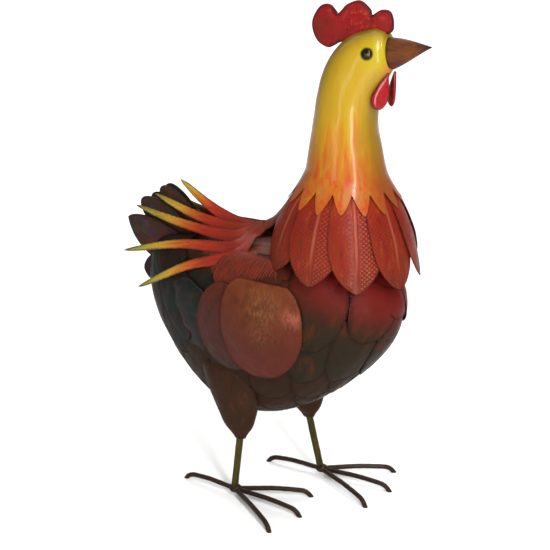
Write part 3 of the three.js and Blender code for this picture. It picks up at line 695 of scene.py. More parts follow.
def knurledRelief(depths, seed):
    # Bands of raised diamonds on both sides of a smooth rib: the product of two slanting waves, by its size.
    def relief(u, across, along, rim):
        p = math.pi * (across / knurl["across"] + along / knurl["along"])
        q = math.pi * (across / knurl["across"] - along / knurl["along"])
        diamonds = np.abs(np.sin(p) * np.sin(q)) ** 0.75
        deep = np.where(across < 0, *depths)  # before and behind the rib
        band = np.clip((np.abs(across) - knurl["ribSide"]) / knurl["slope"], 0, 1)
        band = band * np.clip((rim * rimReach - knurl["edgeSide"]) / knurl["slope"], 0, 1)
        band = band * np.clip((u - 0.05) * 12, 0, 1)
        rib = np.exp(-((across / knurl["rib"]) ** 2)) * np.clip((1.05 - u) * 2, 0, 1)
        dents = knurl["dents"] * plateNoise(across, along, seed, 21, 6)
        shade = np.clip(0.5 + (diamonds - 0.5) * band * deep / 0.8 + 0.4 * rib * (1 - band), 0, 1)
        return deep * diamonds * band + knurl["ribHeight"] * rib + dents, shade
    return relief


# Breast, belly and rump

scales = {
    "pitch": 52,
    "overlap": 4,
    "shape": {"lift": 0.065, "dome": 1.8, "tilt": 0.8, "rootShare": 0.82, "widest": 0.5},
    # latitude, places counted in pitches from the breast's middle, length, height of the root
    "breastRows": [(25, (0.5, 1.5, 2.5), 68, 1.8), (-1, (0, 1, 2), 76, 1.8)],
    "infillRows": [(47, (0, 1, 2), 62, 0.2), (30, (0,), 62, 0.4), (25, (3.5,), 68, 0.8), (-1, (3,), 76, 1.0)],
    # latitude, pitch, length, share of a pitch from the breast's middle to the first plate
    "bellyRows": [(-25, 54, 74, 0.5), (-47, 50, 66, 0.0), (-68, 44, 58, 0.5)],
    "rumpRows": [(38, 50, 62, 0.0), (16, 52, 68, 0.5), (-6, 54, 74, 0.0)],
    "bellyRoot": 1.4,
    "rumpRoot": 1.2,
    "rumpBehind": -64,  # rump plates start behind this
    # thin plates high on the flank, red ones and further back dark ones: x, z, length, width
    "redFill": [(-12, 318, 40, 52), (14, 322, 36, 54), (30, 331, 74, 64), (-30, 321, 40, 50)],
    "darkFill": [(-62, 300, 46, 50), (-40, 310, 46, 50)],
    "fillShape": {"lift": 0, "dome": 0.4, "tilt": 0.2},
    "fillRoot": -0.9,
    "breastGrid": (44, 30),
    "infillGrid": (32, 22),
    "rowGrid": (32, 20),
    "fillGrid": (22, 44),
}


def rowTurns(latitude, pitch, late):
    # turns whose places lie about one pitch apart all round a circle of latitude
    turn = np.linspace(0, 2 * math.pi, 1441)
    reached = travelled(bodyPoint(directionAt(latitude, turn)))
    count = round(reached[-1] / pitch)
    return np.interp((np.arange(count) + late) * reached[-1] / count, reached, turn)


def placedAlong(latitude, places):
    # the directions of listed places on a circle of latitude, on both sides
    turn = np.linspace(0, math.pi, 1571)
    reached = travelled(bodyPoint(directionAt(latitude, turn)))
    found = np.interp(np.array(places) * scales["pitch"], reached, turn)
    return [directionAt(latitude, t) for t in sorted({*found, *(-found)})]


def breastFade(base):
    # 0 where the crimson is full and 1 where it has gone dark: it reaches lower in the middle of the breast
    turn = np.arctan2(np.abs(base[..., 1]), base[..., 0] - 20)
    darkAt = 248 + 42 * np.clip(turn, 0, 1.2)
    aside = 0.55 * np.clip((turn - 0.75) / 0.45, 0, 1)  # towards the wing all of it is red-brown
    return np.clip(np.maximum((darkAt + 36 - base[..., 2]) / 72, aside), 0, 1)


def scaleLeaf(place, length, width, root, pointing=(0, 0, -1)):
    return {**scales["shape"], "place": place, "length": length, "width": width, "root": root,
            "pointing": pointing, "fadeAt": breastFade}


def makeBreast(paint):
    width = scales["pitch"] + scales["overlap"]
    feathers = ("breastRows", "breastFeather", "breastGrid", 0)
    infill = ("infillRows", "breastInfill", "infillGrid", 30)
    for rows, name, grid, seed in (feathers, infill):
        for row, (latitude, places, length, root) in enumerate(scales[rows]):
            for k, place in enumerate(placedAlong(latitude, places)):
                leaf = scaleLeaf(place, length, width, root)
                sheet = leafOnBody(leaf, scales[grid], beatenRelief(seed + 10 * row + k, 0.25))
                nodes = [f"breast_feather_{row + 1}_{k + 1}"] if rows == "breastRows" else ()
                addSheet(f"{name}_{row + 1}_{k + 1}", sheet, paint, nodes)


def makeBelly(paint):
    for row, (latitude, pitch, length, late) in enumerate(scales["bellyRows"]):
        for k, turn in enumerate(rowTurns(latitude, pitch, late)):
            back = 0.5 * (1 - math.cos(turn))  # 1 at the rump, where the plates sweep backwards
            leaf = scaleLeaf(directionAt(latitude, turn), length, pitch + scales["overlap"],
                             scales["bellyRoot"], (-0.5 * back, 0, -1))
            sheet = leafOnBody(leaf, scales["rowGrid"], beatenRelief(40 + 20 * row + k, 0.3))
            addSheet(f"bellyFeather_{row + 1}_{k + 1}", sheet, paint)


def makeRump(paint, fillPaint):
    for row, (latitude, pitch, length, late) in enumerate(scales["rumpRows"]):
        places = [directionAt(latitude, turn) for turn in rowTurns(latitude, pitch, late)]
        places = [place for place in places if bodyPoint(place)[0] < scales["rumpBehind"]]
        for k, place in enumerate(places):
            leaf = scaleLeaf(place, length, pitch + scales["overlap"], scales["rumpRoot"], (-0.6, 0, -0.8))
            sheet = leafOnBody(leaf, scales["rowGrid"], beatenRelief(140 + 20 * row + k, 0.3))
            addSheet(f"rumpFeather_{row + 1}_{k + 1}", sheet, paint)
    for k, (x, z, length, width) in enumerate([*scales["redFill"], *scales["darkFill"]]):
        leaf = scaleLeaf(flankDirection(x, z), length, width, scales["fillRoot"], (-0.3, 0, -0.9))
        leaf.update(scales["fillShape"])
        sheet = leafOnBody(leaf, scales["fillGrid"], groovedRelief(200 + k, 0.12, 0.1))
        fill = fillPaint if k < len(scales["redFill"]) else paint
        addPair(f"FlankFeather_{k + 1}", sheet, fill)


# Wings

wings = {
    "shape": {"rootShare": 0.5, "widest": 0.5},
    "swirls": [((2, 60), 34, 0.22), ((-4, 30), 26, 0.16)],  # on the front covert: place, reach, depth
    "plates": [  # x and z are a plate's middle
        {"name": "shoulder_plate", "x": 4, "z": 300, "length": 66, "width": 82, "turn": 12,
         "root": 2.6, "dome": 1.6, "tilt": 0, "lift": 0, "grid": (36, 90)},
        {"name": "rear_covert", "x": -80, "z": 238, "length": 104, "width": 84, "turn": 30,
         "root": 2.2, "dome": 2, "tilt": 1.4, "lift": 0.01, "grid": (68, 52)},
        {"name": "middle_covert", "x": -13, "z": 243, "length": 112, "width": 88, "turn": 16,
         "root": 4.6, "dome": 3, "tilt": 1.6, "lift": 0.02, "grid": (68, 52)},
        {"name": "front_covert", "x": 33, "z": 252, "length": 116, "width": 98, "turn": 2,
         "root": 9.2, "dome": 7, "tilt": 1.2, "lift": 0.03, "grid": (68, 52)},
    ],
}


def makeWings(paints):
    for k, wing in enumerate(wings["plates"]):
        name, turn = wing["name"], math.radians(wing["turn"])
        leaf = {**wings["shape"], **wing, "place": flankDirection(wing["x"], wing["z"]),
                "start": -wing["length"] / 2, "pointing": (-math.sin(turn), 0, -math.cos(turn))}
        relief = groovedRelief(k, 0.3) if name == "shoulder_plate" else beatenRelief(80 + k, 0.35, 0.6)
        if name == "front_covert":
            relief = swirledRelief(relief, wings["swirls"])
        sheet = leafOnBody(leaf, wing["grid"], relief)
        addPair(f"Wing_{name}", sheet, paints[name], f"wing_{name}")


# Neck, collar and hackle feathers

neck = {
    "back": [(20, 326), (25, 366), (42, 402), (48, 439), (53, 474),
             (58, 508), (69, 541), (91, 567), (120, 578), (134, 576)],
    "front": [(134, 322), (151, 358), (143, 397), (132.5, 437), (125.5, 470),
              (126.5, 499), (133, 520), (139, 530), (142, 536), (143, 541)],
    "halfWidth": [62, 61, 49, 41, 36, 34, 32, 28, 22, 16],
    "rows": 76,
    "beaten": 0.35,
    "beatenFrom": 412,  # the height where the dents start, so that the collar's rim stays even
    "cap": (3, 0, 0.6),  # how far the face bulges under the beak
    "capRings": [0.97, 0.86, 0.6, 0.3],
    "collarFrom": 0.29,  # share along the neck where the toothed collar starts to flare
    "collarRows": 19,
    "hemRows": 8,  # rows of the neck that the inner skin follows above the collar
    "teeth": 16,
    "perTooth": 14,  # columns of points on each tooth
    "firstTooth": -1.2,  # degrees
    "toothTip": 386.5,
    "toothRoot": 406.5,
    "uneven": 1.3,
    "overHackle": 5.0,
    "rootGrid": (22, 64),
    "rootShare": 0.97,
}

hackle = {
    "count": 8,
    "step": 36,
    "centre": 91,
    "rootHeight": 404,
    "tipHeight": 303,
    "backLift": 16,
    "rootRadius": 45,
    "tipRadius": 86,
    "flare": 0.62,
    "bulge": 3,
    "width": 62,
    "outline": (0.5, 0.52, 0.7),  # a feather's root share, widest place and point
    "shingle": 0.06,
    "grid": (128, 72),
    "crowded": 0.5,
    # knurl depth before and behind the middle rib of each feather
    "depths": [(0.4, 0.4), (0.45, 0.65), (0.25, 0.85), (0.45, 0.2),
               (0.25, 0.35), (0.3, 0.5), (0.4, 0.4), (0.4, 0.4)],
}


def neckPoint(t, turn):
    # a rib at share t: the middle, plus half the rib's depth times cos, plus its half width times sin
    lines = (zip(*neck[edge]) for edge in ("back", "front"))
    back, front = (np.stack([splineValues(values, t) for values in line], -1) for line in lines)
    middle, half = (back + front) / 2, (front - back) / 2
    x = middle[..., 0] + half[..., 0] * np.cos(turn)
    z = middle[..., 1] + half[..., 1] * np.cos(turn)
    return np.stack([x, splineValues(neck["halfWidth"], t) * np.sin(turn), z], -1)


def bellAt(u):
    # the radius of the ring of hackle feathers: it grows by a power of u, with a slight bulge
    grown = (hackle["tipRadius"] - hackle["rootRadius"]) * u ** hackle["flare"]
    return hackle["rootRadius"] + grown + hackle["bulge"] * np.sin(math.pi * u)


def collarSkin(turn):
    # The collar leaves the neck's surface and flares over the feathers' roots: its radius grows with the
    # share of the way down, to the power 1.3. A tooth's rim rises from its middle as sqrt(away^2 + 0.03).
    column = np.arange(len(turn))
    away = np.abs((column / neck["perTooth"] + 0.5) % 1 - 0.5) * 2  # 0 on a tooth's middle, 1 between two
    blunt = (np.sqrt(away**2 + 0.03) - 0.173) / 0.842
    uneven = neck["uneven"] * np.sin(column * 2 * math.pi / len(turn) * 5 + 1)
    rim = neck["toothTip"] + (neck["toothRoot"] - neck["toothTip"]) * blunt + uneven * (1 - away)
    top = neckPoint(np.full(len(turn), neck["collarFrom"]), turn)
    x, y, height = top[:, 0] - hackle["centre"], top[:, 1], top[:, 2]
    about = np.arctan2(y, x)
    z = height + (rim - height) * np.linspace(1, 0, neck["collarRows"])[:-1, None]
    down = np.clip((height - z) / (height - neck["toothTip"]), 0, 1)
    tipShare = (hackle["rootHeight"] - neck["toothTip"]) / (hackle["rootHeight"] - hackle["tipHeight"])
    widest = bellAt(tipShare) + neck["overHackle"]
    radius = np.hypot(x, y) + (widest - np.hypot(x, y)) * down**1.3
    return np.stack([hackle["centre"] + radius * np.cos(about), radius * np.sin(about), z], -1)


def makeNeck(paint, rootPaint):
    # one skin up the inside of the collar, round its rim and up the outside to the face under the beak
    columns = neck["teeth"] * neck["perTooth"]
    turn = math.radians(neck["firstTooth"]) + turnsAround(columns)
    collar = collarSkin(turn)
    skin = neckPoint(np.linspace(neck["collarFrom"], 1, neck["rows"])[:, None], turn)
    shrink = np.array(neck["capRings"])[:, None, None]
    face = skin[-1].mean(0)
    push = np.array(neck["cap"])
    cap = face + (skin[-1] - face) * shrink + push * (1 - shrink**2)
    outside = np.concatenate([collar, skin, cap])
    dented = np.clip((outside[..., 2:] - neck["beatenFrom"]) / 20, 0, 1)
    dents = neck["beaten"] * smoothNoise(outside, 26, 11)[..., None] * dented
    outside = outside + outwards(outside) * dents
    inside = np.concatenate([collar, skin[:neck["hemRows"]]])
    inside = inside - outwards(inside) * sheetThickness
    rings = np.concatenate([inside[::-1], outside])
    # how far round each column lies from the throat (0) to the nape (1), which places the neck's painted
    # shade
    turned = np.abs((turn + math.pi) % (2 * math.pi) - math.pi) / math.pi
    turned = np.append(np.tile(turned, len(rings)), [0.5, 0.2])
    marks = np.zeros(len(turned), int)
    hem = len(inside) * columns
    marks[hem - columns:hem] = 1
    marks[hem:hem + columns] = 2
    addLoft("neckAndHead", rings, paint, ["neck_and_head"], end=face + push,
            fields={"turned": turned}, rims=marks)
    rows, columns = neck["rootGrid"]
    low = neckPoint(np.linspace(0, neck["collarFrom"] + 0.02, rows)[:, None], turnsAround(columns))
    middle = low.mean(1, keepdims=True)
    rings = middle + (low - middle) * neck["rootShare"]
    addLoft("neckRoot", rings, rootPaint, ["neck_and_head"])


def makeHackles(paint):
    # Feather k hangs on the bell, less the shingle times its place across, so that each laps over the next.
    for k in range(hackle["count"]):
        middleTurn = math.radians((k - (hackle["count"] - 1) / 2) * hackle["step"])
        tip = hackle["tipHeight"] + hackle["backLift"] * (1 - math.cos(middleTurn)) / 2
        length = hackle["rootHeight"] - tip
        outline = (length, hackle["width"], *hackle["outline"])
        u, _, across, along, rim = leafField(hackle["grid"], hackle["crowded"], *outline)
        radius = bellAt(u) - hackle["shingle"] * across
        raised, shade = knurledRelief(hackle["depths"][k], k)(u, across, along, rim)
        turn = middleTurn + across / radius
        out = np.stack([np.cos(turn), np.sin(turn), 0 * turn], -1)
        base = np.stack([hackle["centre"] + 0 * u, 0 * u, hackle["rootHeight"] - length * u], -1)
        sheet = plateOf(base, out, radius, raised, across, along, rim, shade, u)
        addSheet(f"hackleFeather_{k + 1}", sheet, paint, [f"hackle_feather_{k + 1}"])


# Beak, comb, wattles and eyes

beak = {
    "baseTop": (141.5, 0, 570),
    "baseBottom": (145, 0, 537),
    "halfWidth": 14,
    "tip": (187, 0, 565),
    "swell": 0.1,
    "droop": 1.6,  # of the point
    "ridge": 0.12,  # how far the top line is pinched in
    "foot": 4,  # how far the beak runs back into the head
    "grid": (44, 72),
}

comb = {
    "middle": (92, 572.5),
    "outline": [(82, 561), (67, 554), (52, 562), (47, 580), (56, 596), (68, 599), (77, 590), (88, 600),
                (103, 605), (115, 597), (118, 591), (127, 597), (138, 596), (142, 584), (138, 574),
                (112, 568), (94, 560)],
    "thickness": 8.4,
    "edge": 2.2,
    "puff": 9,
    "beaten": 0.35,
    "around": 150,
}

wattle = {
    "top": (141, -5, 534),
    "length": 40,
    "width": 18,
    # one side of the drop, as shares of its half width and its length
    "outline": [(0, 0), (0.35, 0.18), (0.85, 0.5), (1, 0.76), (0.62, 0.96), (0, 1)],
    "middle": 0.62,
    "thickness": 5,
    "edge": 1.4,
    "puff": 7,
    "turn": 45,
    "splay": 17,
    "shift": {"right": -1.0, "left": 2.5},  # the far one hangs a little further forward
    "around": 96,
}

eye = {"place": (124, -24.9, 555), "facing": (0.24, -0.95, 0.2), "radius": 5.6, "proud": 2.6, "seat": 3}


def makeBeak(paint):
    # rings shrink from the base to the tip by the share 1 - s, rounded off at the point
    top, bottom = np.array(beak["baseTop"]), np.array(beak["baseBottom"])
    base, half = (top + bottom) / 2, (top - bottom) / 2
    rows, columns = beak["grid"]
    turn = turnsAround(columns)
    s = eased(rows, 0.5)[:, None] * 0.985
    size = (1 - s) * (1 + beak["swell"] * np.sin(math.pi * s))
    pinch = 1 - beak["ridge"] * np.clip(np.cos(turn), 0, 1) ** 2
    rings = base + (np.array(beak["tip"]) - base) * s[..., None] + (size * np.cos(turn))[..., None] * half
    rings[..., 1] += size * np.sin(turn) * pinch * beak["halfWidth"]
    rings[..., 2] -= beak["droop"] * s**3
    foot = rings[:1] - np.array([beak["foot"], 0, 0])
    addLoft("beakCone", np.concatenate([foot, rings]), paint, ["beak"])


def pillowRings(plate, place):
    # A puffed plate: rings of its outline drawn in towards the middle. Its thickness grows from the edge with
    # the distance d from the outline, as sqrt(1 - (1 - d / puff)^2).
    outline, middle, around = plate["outline"], np.array(plate["middle"]), plate["around"]
    closed = np.array([*outline[-2:], *outline, *outline[:2]], float)
    rim = curveThrough(closed, (2 + np.arange(around) / around * len(outline)) / (len(outline) + 3), 0.5)
    reach = rim - middle
    shares = np.sin(np.linspace(0.02, 0.495, 26) * math.pi)
    flat = middle + reach * shares[:, None, None]
    away = np.linalg.norm(flat[:, :, None] - rim, axis=-1).min(-1)
    swell = np.sqrt(1 - (1 - np.clip(away / plate["puff"], 0, 1)) ** 2)
    half = (plate["edge"] + (plate["thickness"] - plate["edge"]) * swell) / 2
    front, rear = (place(flat[..., 0], flat[..., 1], side * half) for side in (1, -1))
    outermost = middle + reach * (1 + plate["edge"] * 0.35 / np.linalg.norm(reach, axis=1, keepdims=True))
    rounded = place(outermost[:, 0], outermost[:, 1], 0 * outermost[:, 0])[None]
    top, low = (place(*middle, side * half[0].mean()) for side in (1, -1))
    depth = np.concatenate([away, 0 * away[:1], away[::-1]]).ravel()
    rimField = {"rim": np.clip(np.append(depth, [9, 9]) / rimReach, 0, 1)}
    return np.concatenate([front, rounded, rear[::-1]]), top, low, rimField


def makeComb(paint):
    rings, top, low, rim = pillowRings(comb, lambda x, z, y: np.stack([x, y, z], -1))
    rings[..., 1] += comb["beaten"] * smoothNoise(rings, 13, 21)
    addLoft("combPlate", rings, paint, ["comb"], top, low, rim)


def makeWattles(paint):
    half, length = wattle["width"] / 2, wattle["length"]
    outline = [(w * half, -h * length) for w, h in wattle["outline"]]
    outline += [(-x, z) for x, z in outline[-2:0:-1]]
    splay, turn = math.radians(wattle["splay"]), math.radians(wattle["turn"])

    def place(p, q, side):
        # a place on the flat drop, splayed forwards, turned outwards and hung from its top
        x, z = p * math.cos(splay) + q * math.sin(splay), q * math.cos(splay) - p * math.sin(splay)
        forward = x * math.cos(turn) - side * math.sin(turn)
        outward = x * math.sin(turn) + side * math.cos(turn)
        return np.stack([forward, outward, z], -1) + np.array(wattle["top"])

    drop = {**wattle, "outline": outline, "middle": (0, -wattle["middle"] * length)}
    rings, top, low, rim = pillowRings(drop, place)
    for side in flanks:
        moved = np.array([wattle["shift"][side], 0, 0])
        addLoft(f"{side}Wattle", rings + moved, paint, [f"{side}_wattle"], top + moved,
                low + moved, rim, side == "left")


def makeEyes(paint):
    # a bead square to the head's side: rings of a half circle, on a short seat inside the head
    turn = turnsAround(40)[:, None]
    lift = np.linspace(0, 0.48, 12) * math.pi
    radius = np.append(eye["radius"], eye["radius"] * np.cos(lift))[:, None, None]
    out = np.append(-eye["seat"], eye["proud"] * np.sin(lift))[:, None, None]
    facing = unit(np.array(eye["facing"]))
    level = unit(np.cross(facing, [0, 0, 1]))
    circle = np.cos(turn) * level + np.sin(turn) * np.cross(level, facing)
    rings = np.array(eye["place"]) + radius * circle + out * facing
    for side in flanks:
        addLoft(f"{side}Eye", rings, paint, [f"{side}_eye"], mirrored=side == "left")


# Sickle fans and tail

fan = {
    "stem": [(47, -30, 399), (26, -21, 372), (6, -15, 351), (-14, -14, 339)],
    "stemHalfWidth": 8,
    "stemFacing": (-0.45, -0.62, 0.62),
    "stemGrid": (40, 9),
    "leftDrop": 5,
    "palmTop": (-52, -8, 341),
    "palmLow": (-16, -55, 320),
    "strips": [  # place in the palm, tip, sag, and how far the strip's colours run towards the pale tip
        (0.0, (-128, -4, 380), 4, 0.96),
        (0.22, (-161, -12, 360), 5, 0.985),
        (0.46, (-180, -24, 345), 5, 1.0),
        (0.76, (-174, -60, 299), -5, 1.0),
        (1.0, (-138, -82, 266), -6, 0.99),
    ],
    "stripHalfWidth": 8.6,
    "stripGrid": (64, 11),
    "slimmer": 0.26,  # how much narrower the strips are past the palm
    "crown": 1.3,
    "layer": 0.35,
}


def ribbon(points, halfWidth, outwardAt, grid, fadeRange, lift):
    # A strip along a curve: across is the tangent crossed with the outward direction, with a low crown over
    # its middle, 1 - v^2.
    rows, columns = grid
    u = np.linspace(0, 1, rows)
    v = np.linspace(-1, 1, columns)[None]
    centre = curveThrough(points, u)
    fine = curveThrough(points, np.linspace(0, 1, 4 * rows - 3))
    tangent = unit(np.gradient(fine, axis=0)[::4])
    outward = outwardAt(u)
    outward = unit(outward - tangent * np.sum(outward * tangent, 1, keepdims=True))
    half = halfWidth(u)[:, None]
    side = v * half
    run = travelled(centre)
    along = run[:, None] + 0 * side
    crown = fan["crown"] * (1 - v**2) * half / half.max()
    base = centre[:, None] + np.cross(tangent, outward)[:, None] * side[..., None]
    rim = np.clip(np.minimum(half - np.abs(side), run[-1] - along) / rimReach, 0, 1)
    wave = 0.25 * smoothNoise(np.dstack([side, along, 0 * side + lift * 90]), 22, 31)
    shade = np.clip(0.5 + crown / fan["crown"] * 0.4, 0, 1)
    fade = fadeRange[0] + (fadeRange[1] - fadeRange[0]) * u[:, None] + 0 * side
    return plateOf(base, outward[:, None], crown + lift, wave, side, along, rim, shade, fade)


def stemWidth(u):
    return fan["stemHalfWidth"] * (0.75 + 0.25 * u)


def stemFacing(u):
    return np.array(fan["stemFacing"]) + 0 * u[:, None]


def stripWidth(u):
    # the half width: widest in the palm, slimmer past it and drawn out to a point
    taper = np.sqrt(np.clip(1.3 * (1 - u) * (0.6 + 2.2 * u), 0.004, 1))
    return fan["stripHalfWidth"] * taper * (1 - fan["slimmer"] * np.clip((u - 0.4) / 0.3, 0, 1))


def fanSheets(drop):
    # the stem, and the strips that leave the palm in layers. A fan that hangs lower drops fully at the palm's
    # top and not at all at the stem's root or along the lowest strip.
    def lowered(point, share):
        x, y, z = point
        return np.array([x, y, z - drop * share * min((fan["stem"][0][0] - x) / 60, 1)])

    stem = [lowered(point, 1) for point in fan["stem"]]
    start = stem[-2] + (stem[-1] - stem[-2]) * 0.6
    top, low = lowered(fan["palmTop"], 1), lowered(fan["palmLow"], 0)
    sheets = [ribbon(stem, stemWidth, stemFacing, fan["stemGrid"], (0.0, 0.18), 0.2)]
    for k, (palm, tip, sag, paleTo) in enumerate(fan["strips"]):
        last = lowered(tip, 1 - palm)
        inPalm = top + (low - top) * palm
        bend = (inPalm + last) / 2 - np.array([0, 0, sag])
        points = [start, stem[-1] + (inPalm - stem[-1]) * 0.25, inPalm, bend, last]

        def outward(u, palm=palm):
            return np.stack([-0.1 + 0 * u, -0.75 - 0.2 * palm * u, 0.65 - 0.35 * palm * u], -1)

        sheets.append(ribbon(points, stripWidth, outward, fan["stripGrid"], (0.12, paleTo), fan["layer"] * k))
    return sheets


def makeFans(paint):
    for side in flanks:
        for k, sheet in enumerate(fanSheets(fan["leftDrop"] if side == "left" else 0)):
            label = f"strip_{k}" if k else "stem"
            addSheet(f"{side}Fan_{label}", sheet, paint, [f"{side}_sickle_fan"], side == "left")


tail = {
    "root": (-78, 0, 272),
    "pairs": [  # rise, length, width, yaw, point and how far the tip leans up
        (51, 124, 38, 1, 0, 0),
        (37, 131, 42, 2, 0.1, 0),
        (19, 132, 50, 4, 0.8, 13),
        (-3, 95, 52, 8, 0.3, 0),
    ],
    "innermost": 1.4,
    "layer": 3.2,
    "dome": 1.4,
    "rootShare": 0.4,
    "widest": 0.62,
    "knurl": (0.45, 0.45),
    "grid": (84, 40),
    "crowded": 0.6,
}


def makeTail(paint):
    # A flat leaf along its run: across is the run crossed with the outward direction, the dome is 1 - v^2.
    for k, (rise, length, width, yaw, point, lean) in enumerate(tail["pairs"]):
        rise, yaw = math.radians(rise), math.radians(yaw)
        run = np.array([-math.cos(rise) * math.cos(yaw), -math.sin(yaw), math.sin(rise) * math.cos(yaw)])
        outward = unit(np.array([0.0, -1, 0]) + run * run[1])
        start = np.array(tail["root"]) - np.array([0, tail["innermost"] + tail["layer"] * k, 0])
        outline = (length, width, tail["rootShare"], tail["widest"], point)
        u, v, aside, along, rim = leafField(tail["grid"], tail["crowded"], *outline)
        raised, shade = knurledRelief(tail["knurl"], 20 + k)(u, aside, along, rim)
        base = start + run * along[..., None] + np.cross(run, outward) * (aside + lean * u**4)[..., None]
        sheet = plateOf(base, outward, tail["dome"] * (1 - v * v), raised, aside, along, rim, shade, u)
        addPair(f"TailFeather_{k + 1}", sheet, paint, f"tail_feather_{k + 1}")


# Thighs, legs and feet

thigh = {
    "height": 172,
    "bottom": 80,
    "inset": 43,
    "lean": 12,
    "radii": [38, 37, 33.5, 28.5, 24, 18, 7.5],
    "flatten": 0.74,
    "above": 0.4,  # how far its rounded top runs up inside the belly, as a share of its height
    "tuck": 20,
    "beaten": 0.5,
    "rows": (10, 40),  # in the rounded top and below it
    "columns": 56,
    "seed": {"right": 41, "left": 42},
}

leg = {
    "radius": 4.4,
    "intoThigh": 22,
    "spacing": 1.5,
    "sides": 32,
    "beaten": 0.16,
    "right": {"foot": (-29, -50), "knee": (-22.5, -45.5, 84), "heading": -3},
    "left": {"foot": (40, 47.5), "knee": (23, 45.5, 84), "heading": 3},
}

toe = {
    "radius": 3,
    "height": 8.5,
    "front": 96,
    "back": 76,
    "spread": 30,
    "fork": 3,  # how far ahead of the leg the outer and inner toes start
    "clawDrop": 13,
    "rise": (0, 1.5, -0.5, -4.5, -11),  # of the path's points over the toe's height
    "spacing": 1.8,
    "sides": 24,
    "beaten": 0.12,
    "clearance": 0.15,  # rings less than this above the floor are dropped
}

weld = {"size": (8.2, 7.2, 5.4), "height": 9.6, "forward": 1, "rough": 0.07, "grid": (26, 40)}


def makeThigh(side, paint):
    # a sleeve of ellipses down to the knee, with a rounded top that is tucked in under the belly
    knee = np.array(leg[side]["knee"], float)
    top = np.array([knee[0] - thigh["lean"], math.copysign(thigh["inset"], knee[1]), thigh["height"]])
    low = np.array([knee[0], knee[1], thigh["bottom"]])
    topRows, rows = thigh["rows"]
    rounded = -thigh["above"] * np.cos(np.linspace(0.05, 0.5, topRows) * math.pi)
    share = np.concatenate([rounded, np.linspace(0, 1, rows)[1:]])[:, None]
    turn = turnsAround(thigh["columns"])
    over = np.clip(-share / thigh["above"], 0, 1)
    radius = splineValues(thigh["radii"], np.clip(share, 0, 1)) * np.sqrt(1 - over**2)
    ring = np.stack([radius * np.cos(turn), radius * thigh["flatten"] * np.sin(turn), 0 * radius * turn], -1)
    rings = top + (low - top) * share[..., None] + ring
    rings[..., 1] -= math.copysign(thigh["tuck"], knee[1]) * over**1.5
    dents = smoothNoise(rings, 20, thigh["seed"][side]) * np.clip(radius / 20, 0, 1)
    rings = rings + unit(ring + 1e-6) * thigh["beaten"] * dents[..., None]
    addLoft(f"{side}Thigh", rings, paint, [f"{side}_thigh"])


def rodRings(path, radius, sides):
    # circles square to a path, each started square to one fixed direction
    tangent = unit(np.gradient(path, axis=0))
    reference = np.array([0.0, 0, 1]) if abs(tangent[len(path) // 2, 2]) < 0.8 else np.array([1.0, 0, 0])
    sideways = unit(np.cross(tangent, reference))
    upward = np.cross(sideways, tangent)
    turn = turnsAround(sides)[None, :, None]
    circle = np.cos(turn) * sideways[:, None] + np.sin(turn) * upward[:, None]
    return path[:, None] + circle * radius, tangent


def evenly(points, spacing, tension=0.35):
    # a path through points, resampled at even distances
    fine = curveThrough(points, np.linspace(0, 1, 800), tension)
    reached = travelled(fine)
    stops = np.linspace(0, reached[-1], max(int(reached[-1] / spacing), 4))
    return np.stack([np.interp(stops, reached, fine[:, k]) for k in range(3)], -1)


def makeLeg(side, paint):
    knee = np.array(leg[side]["knee"], float)
    low = np.array([*leg[side]["foot"], toe["height"] + toe["radius"] - 2.0])
    path = evenly([low, knee, knee + unit(knee - low) * leg["intoThigh"]], leg["spacing"])
    rings, _ = rodRings(path, leg["radius"], leg["sides"])
    rings = rings + unit(rings - path[:, None]) * (leg["beaten"] * smoothNoise(rings, 9, 51))[..., None]
    addLoft(f"{side}Leg", rings, paint, [f"{side}_leg"])


def toePath(length, turn, begin):
    # the path in the foot's own frame: it bows up a little and bends down to the ground at its tip
    drop = toe["clawDrop"]
    reach = np.array([begin, length * 0.5, length - drop, length - drop * 0.35, length])
    heights = toe["height"] + np.array(toe["rise"])
    return np.stack([reach * math.cos(turn), reach * math.sin(turn), heights], -1)


def inFoot(points, side):
    # from the foot's own frame to the sculpture's
    heading = math.radians(leg[side]["heading"])
    x, y = leg[side]["foot"]
    ahead, aside = points[:, 0], points[:, 1]
    x = x + ahead * math.cos(heading) - aside * math.sin(heading)
    y = y + ahead * math.sin(heading) + aside * math.cos(heading)
    return np.stack([x, y, points[:, 2]], -1)


def onFloor(rings, tangent):
    # rings below the floor are dropped, and the last kept one is slid along the rod until it lies flat on it
    keep = np.nonzero(rings[..., 2].min(1) > toe["clearance"])[0]
    first, last = keep[0], keep[-1]

    def slid(k):
        return (rings[k] - tangent[k] * (rings[k][:, 2:] / tangent[k][2]))[None]

    before = [slid(first)] if first > 0 else []
    after = [slid(last)] if last < len(rings) - 1 else []
    return np.concatenate([*before, rings[first:last + 1], *after])


def makeFoot(side, paint):
    back = toePath(toe["back"], math.pi, 0)[::-1]
    rods = {"middle_and_back_toe": np.concatenate([back, toePath(toe["front"], 0, 0)[1:]])}
    spread = math.radians(toe["spread"]) * (1 if side == "right" else -1)
    rods["outer_toe"] = toePath(toe["front"], -spread, toe["fork"])
    rods["inner_toe"] = toePath(toe["front"], spread, toe["fork"])
    for label, points in rods.items():
        rings = onFloor(*rodRings(evenly(inFoot(points, side), toe["spacing"]), toe["radius"], toe["sides"]))
        middle = rings[1:-1]
        middle += outwards(middle) * (toe["beaten"] * smoothNoise(middle, 8, 61))[..., None]
        rings[..., 2] = np.maximum(rings[..., 2], 0)
        addLoft(f"{side}_{label}", rings, paint, [f"{side}_{label}"])


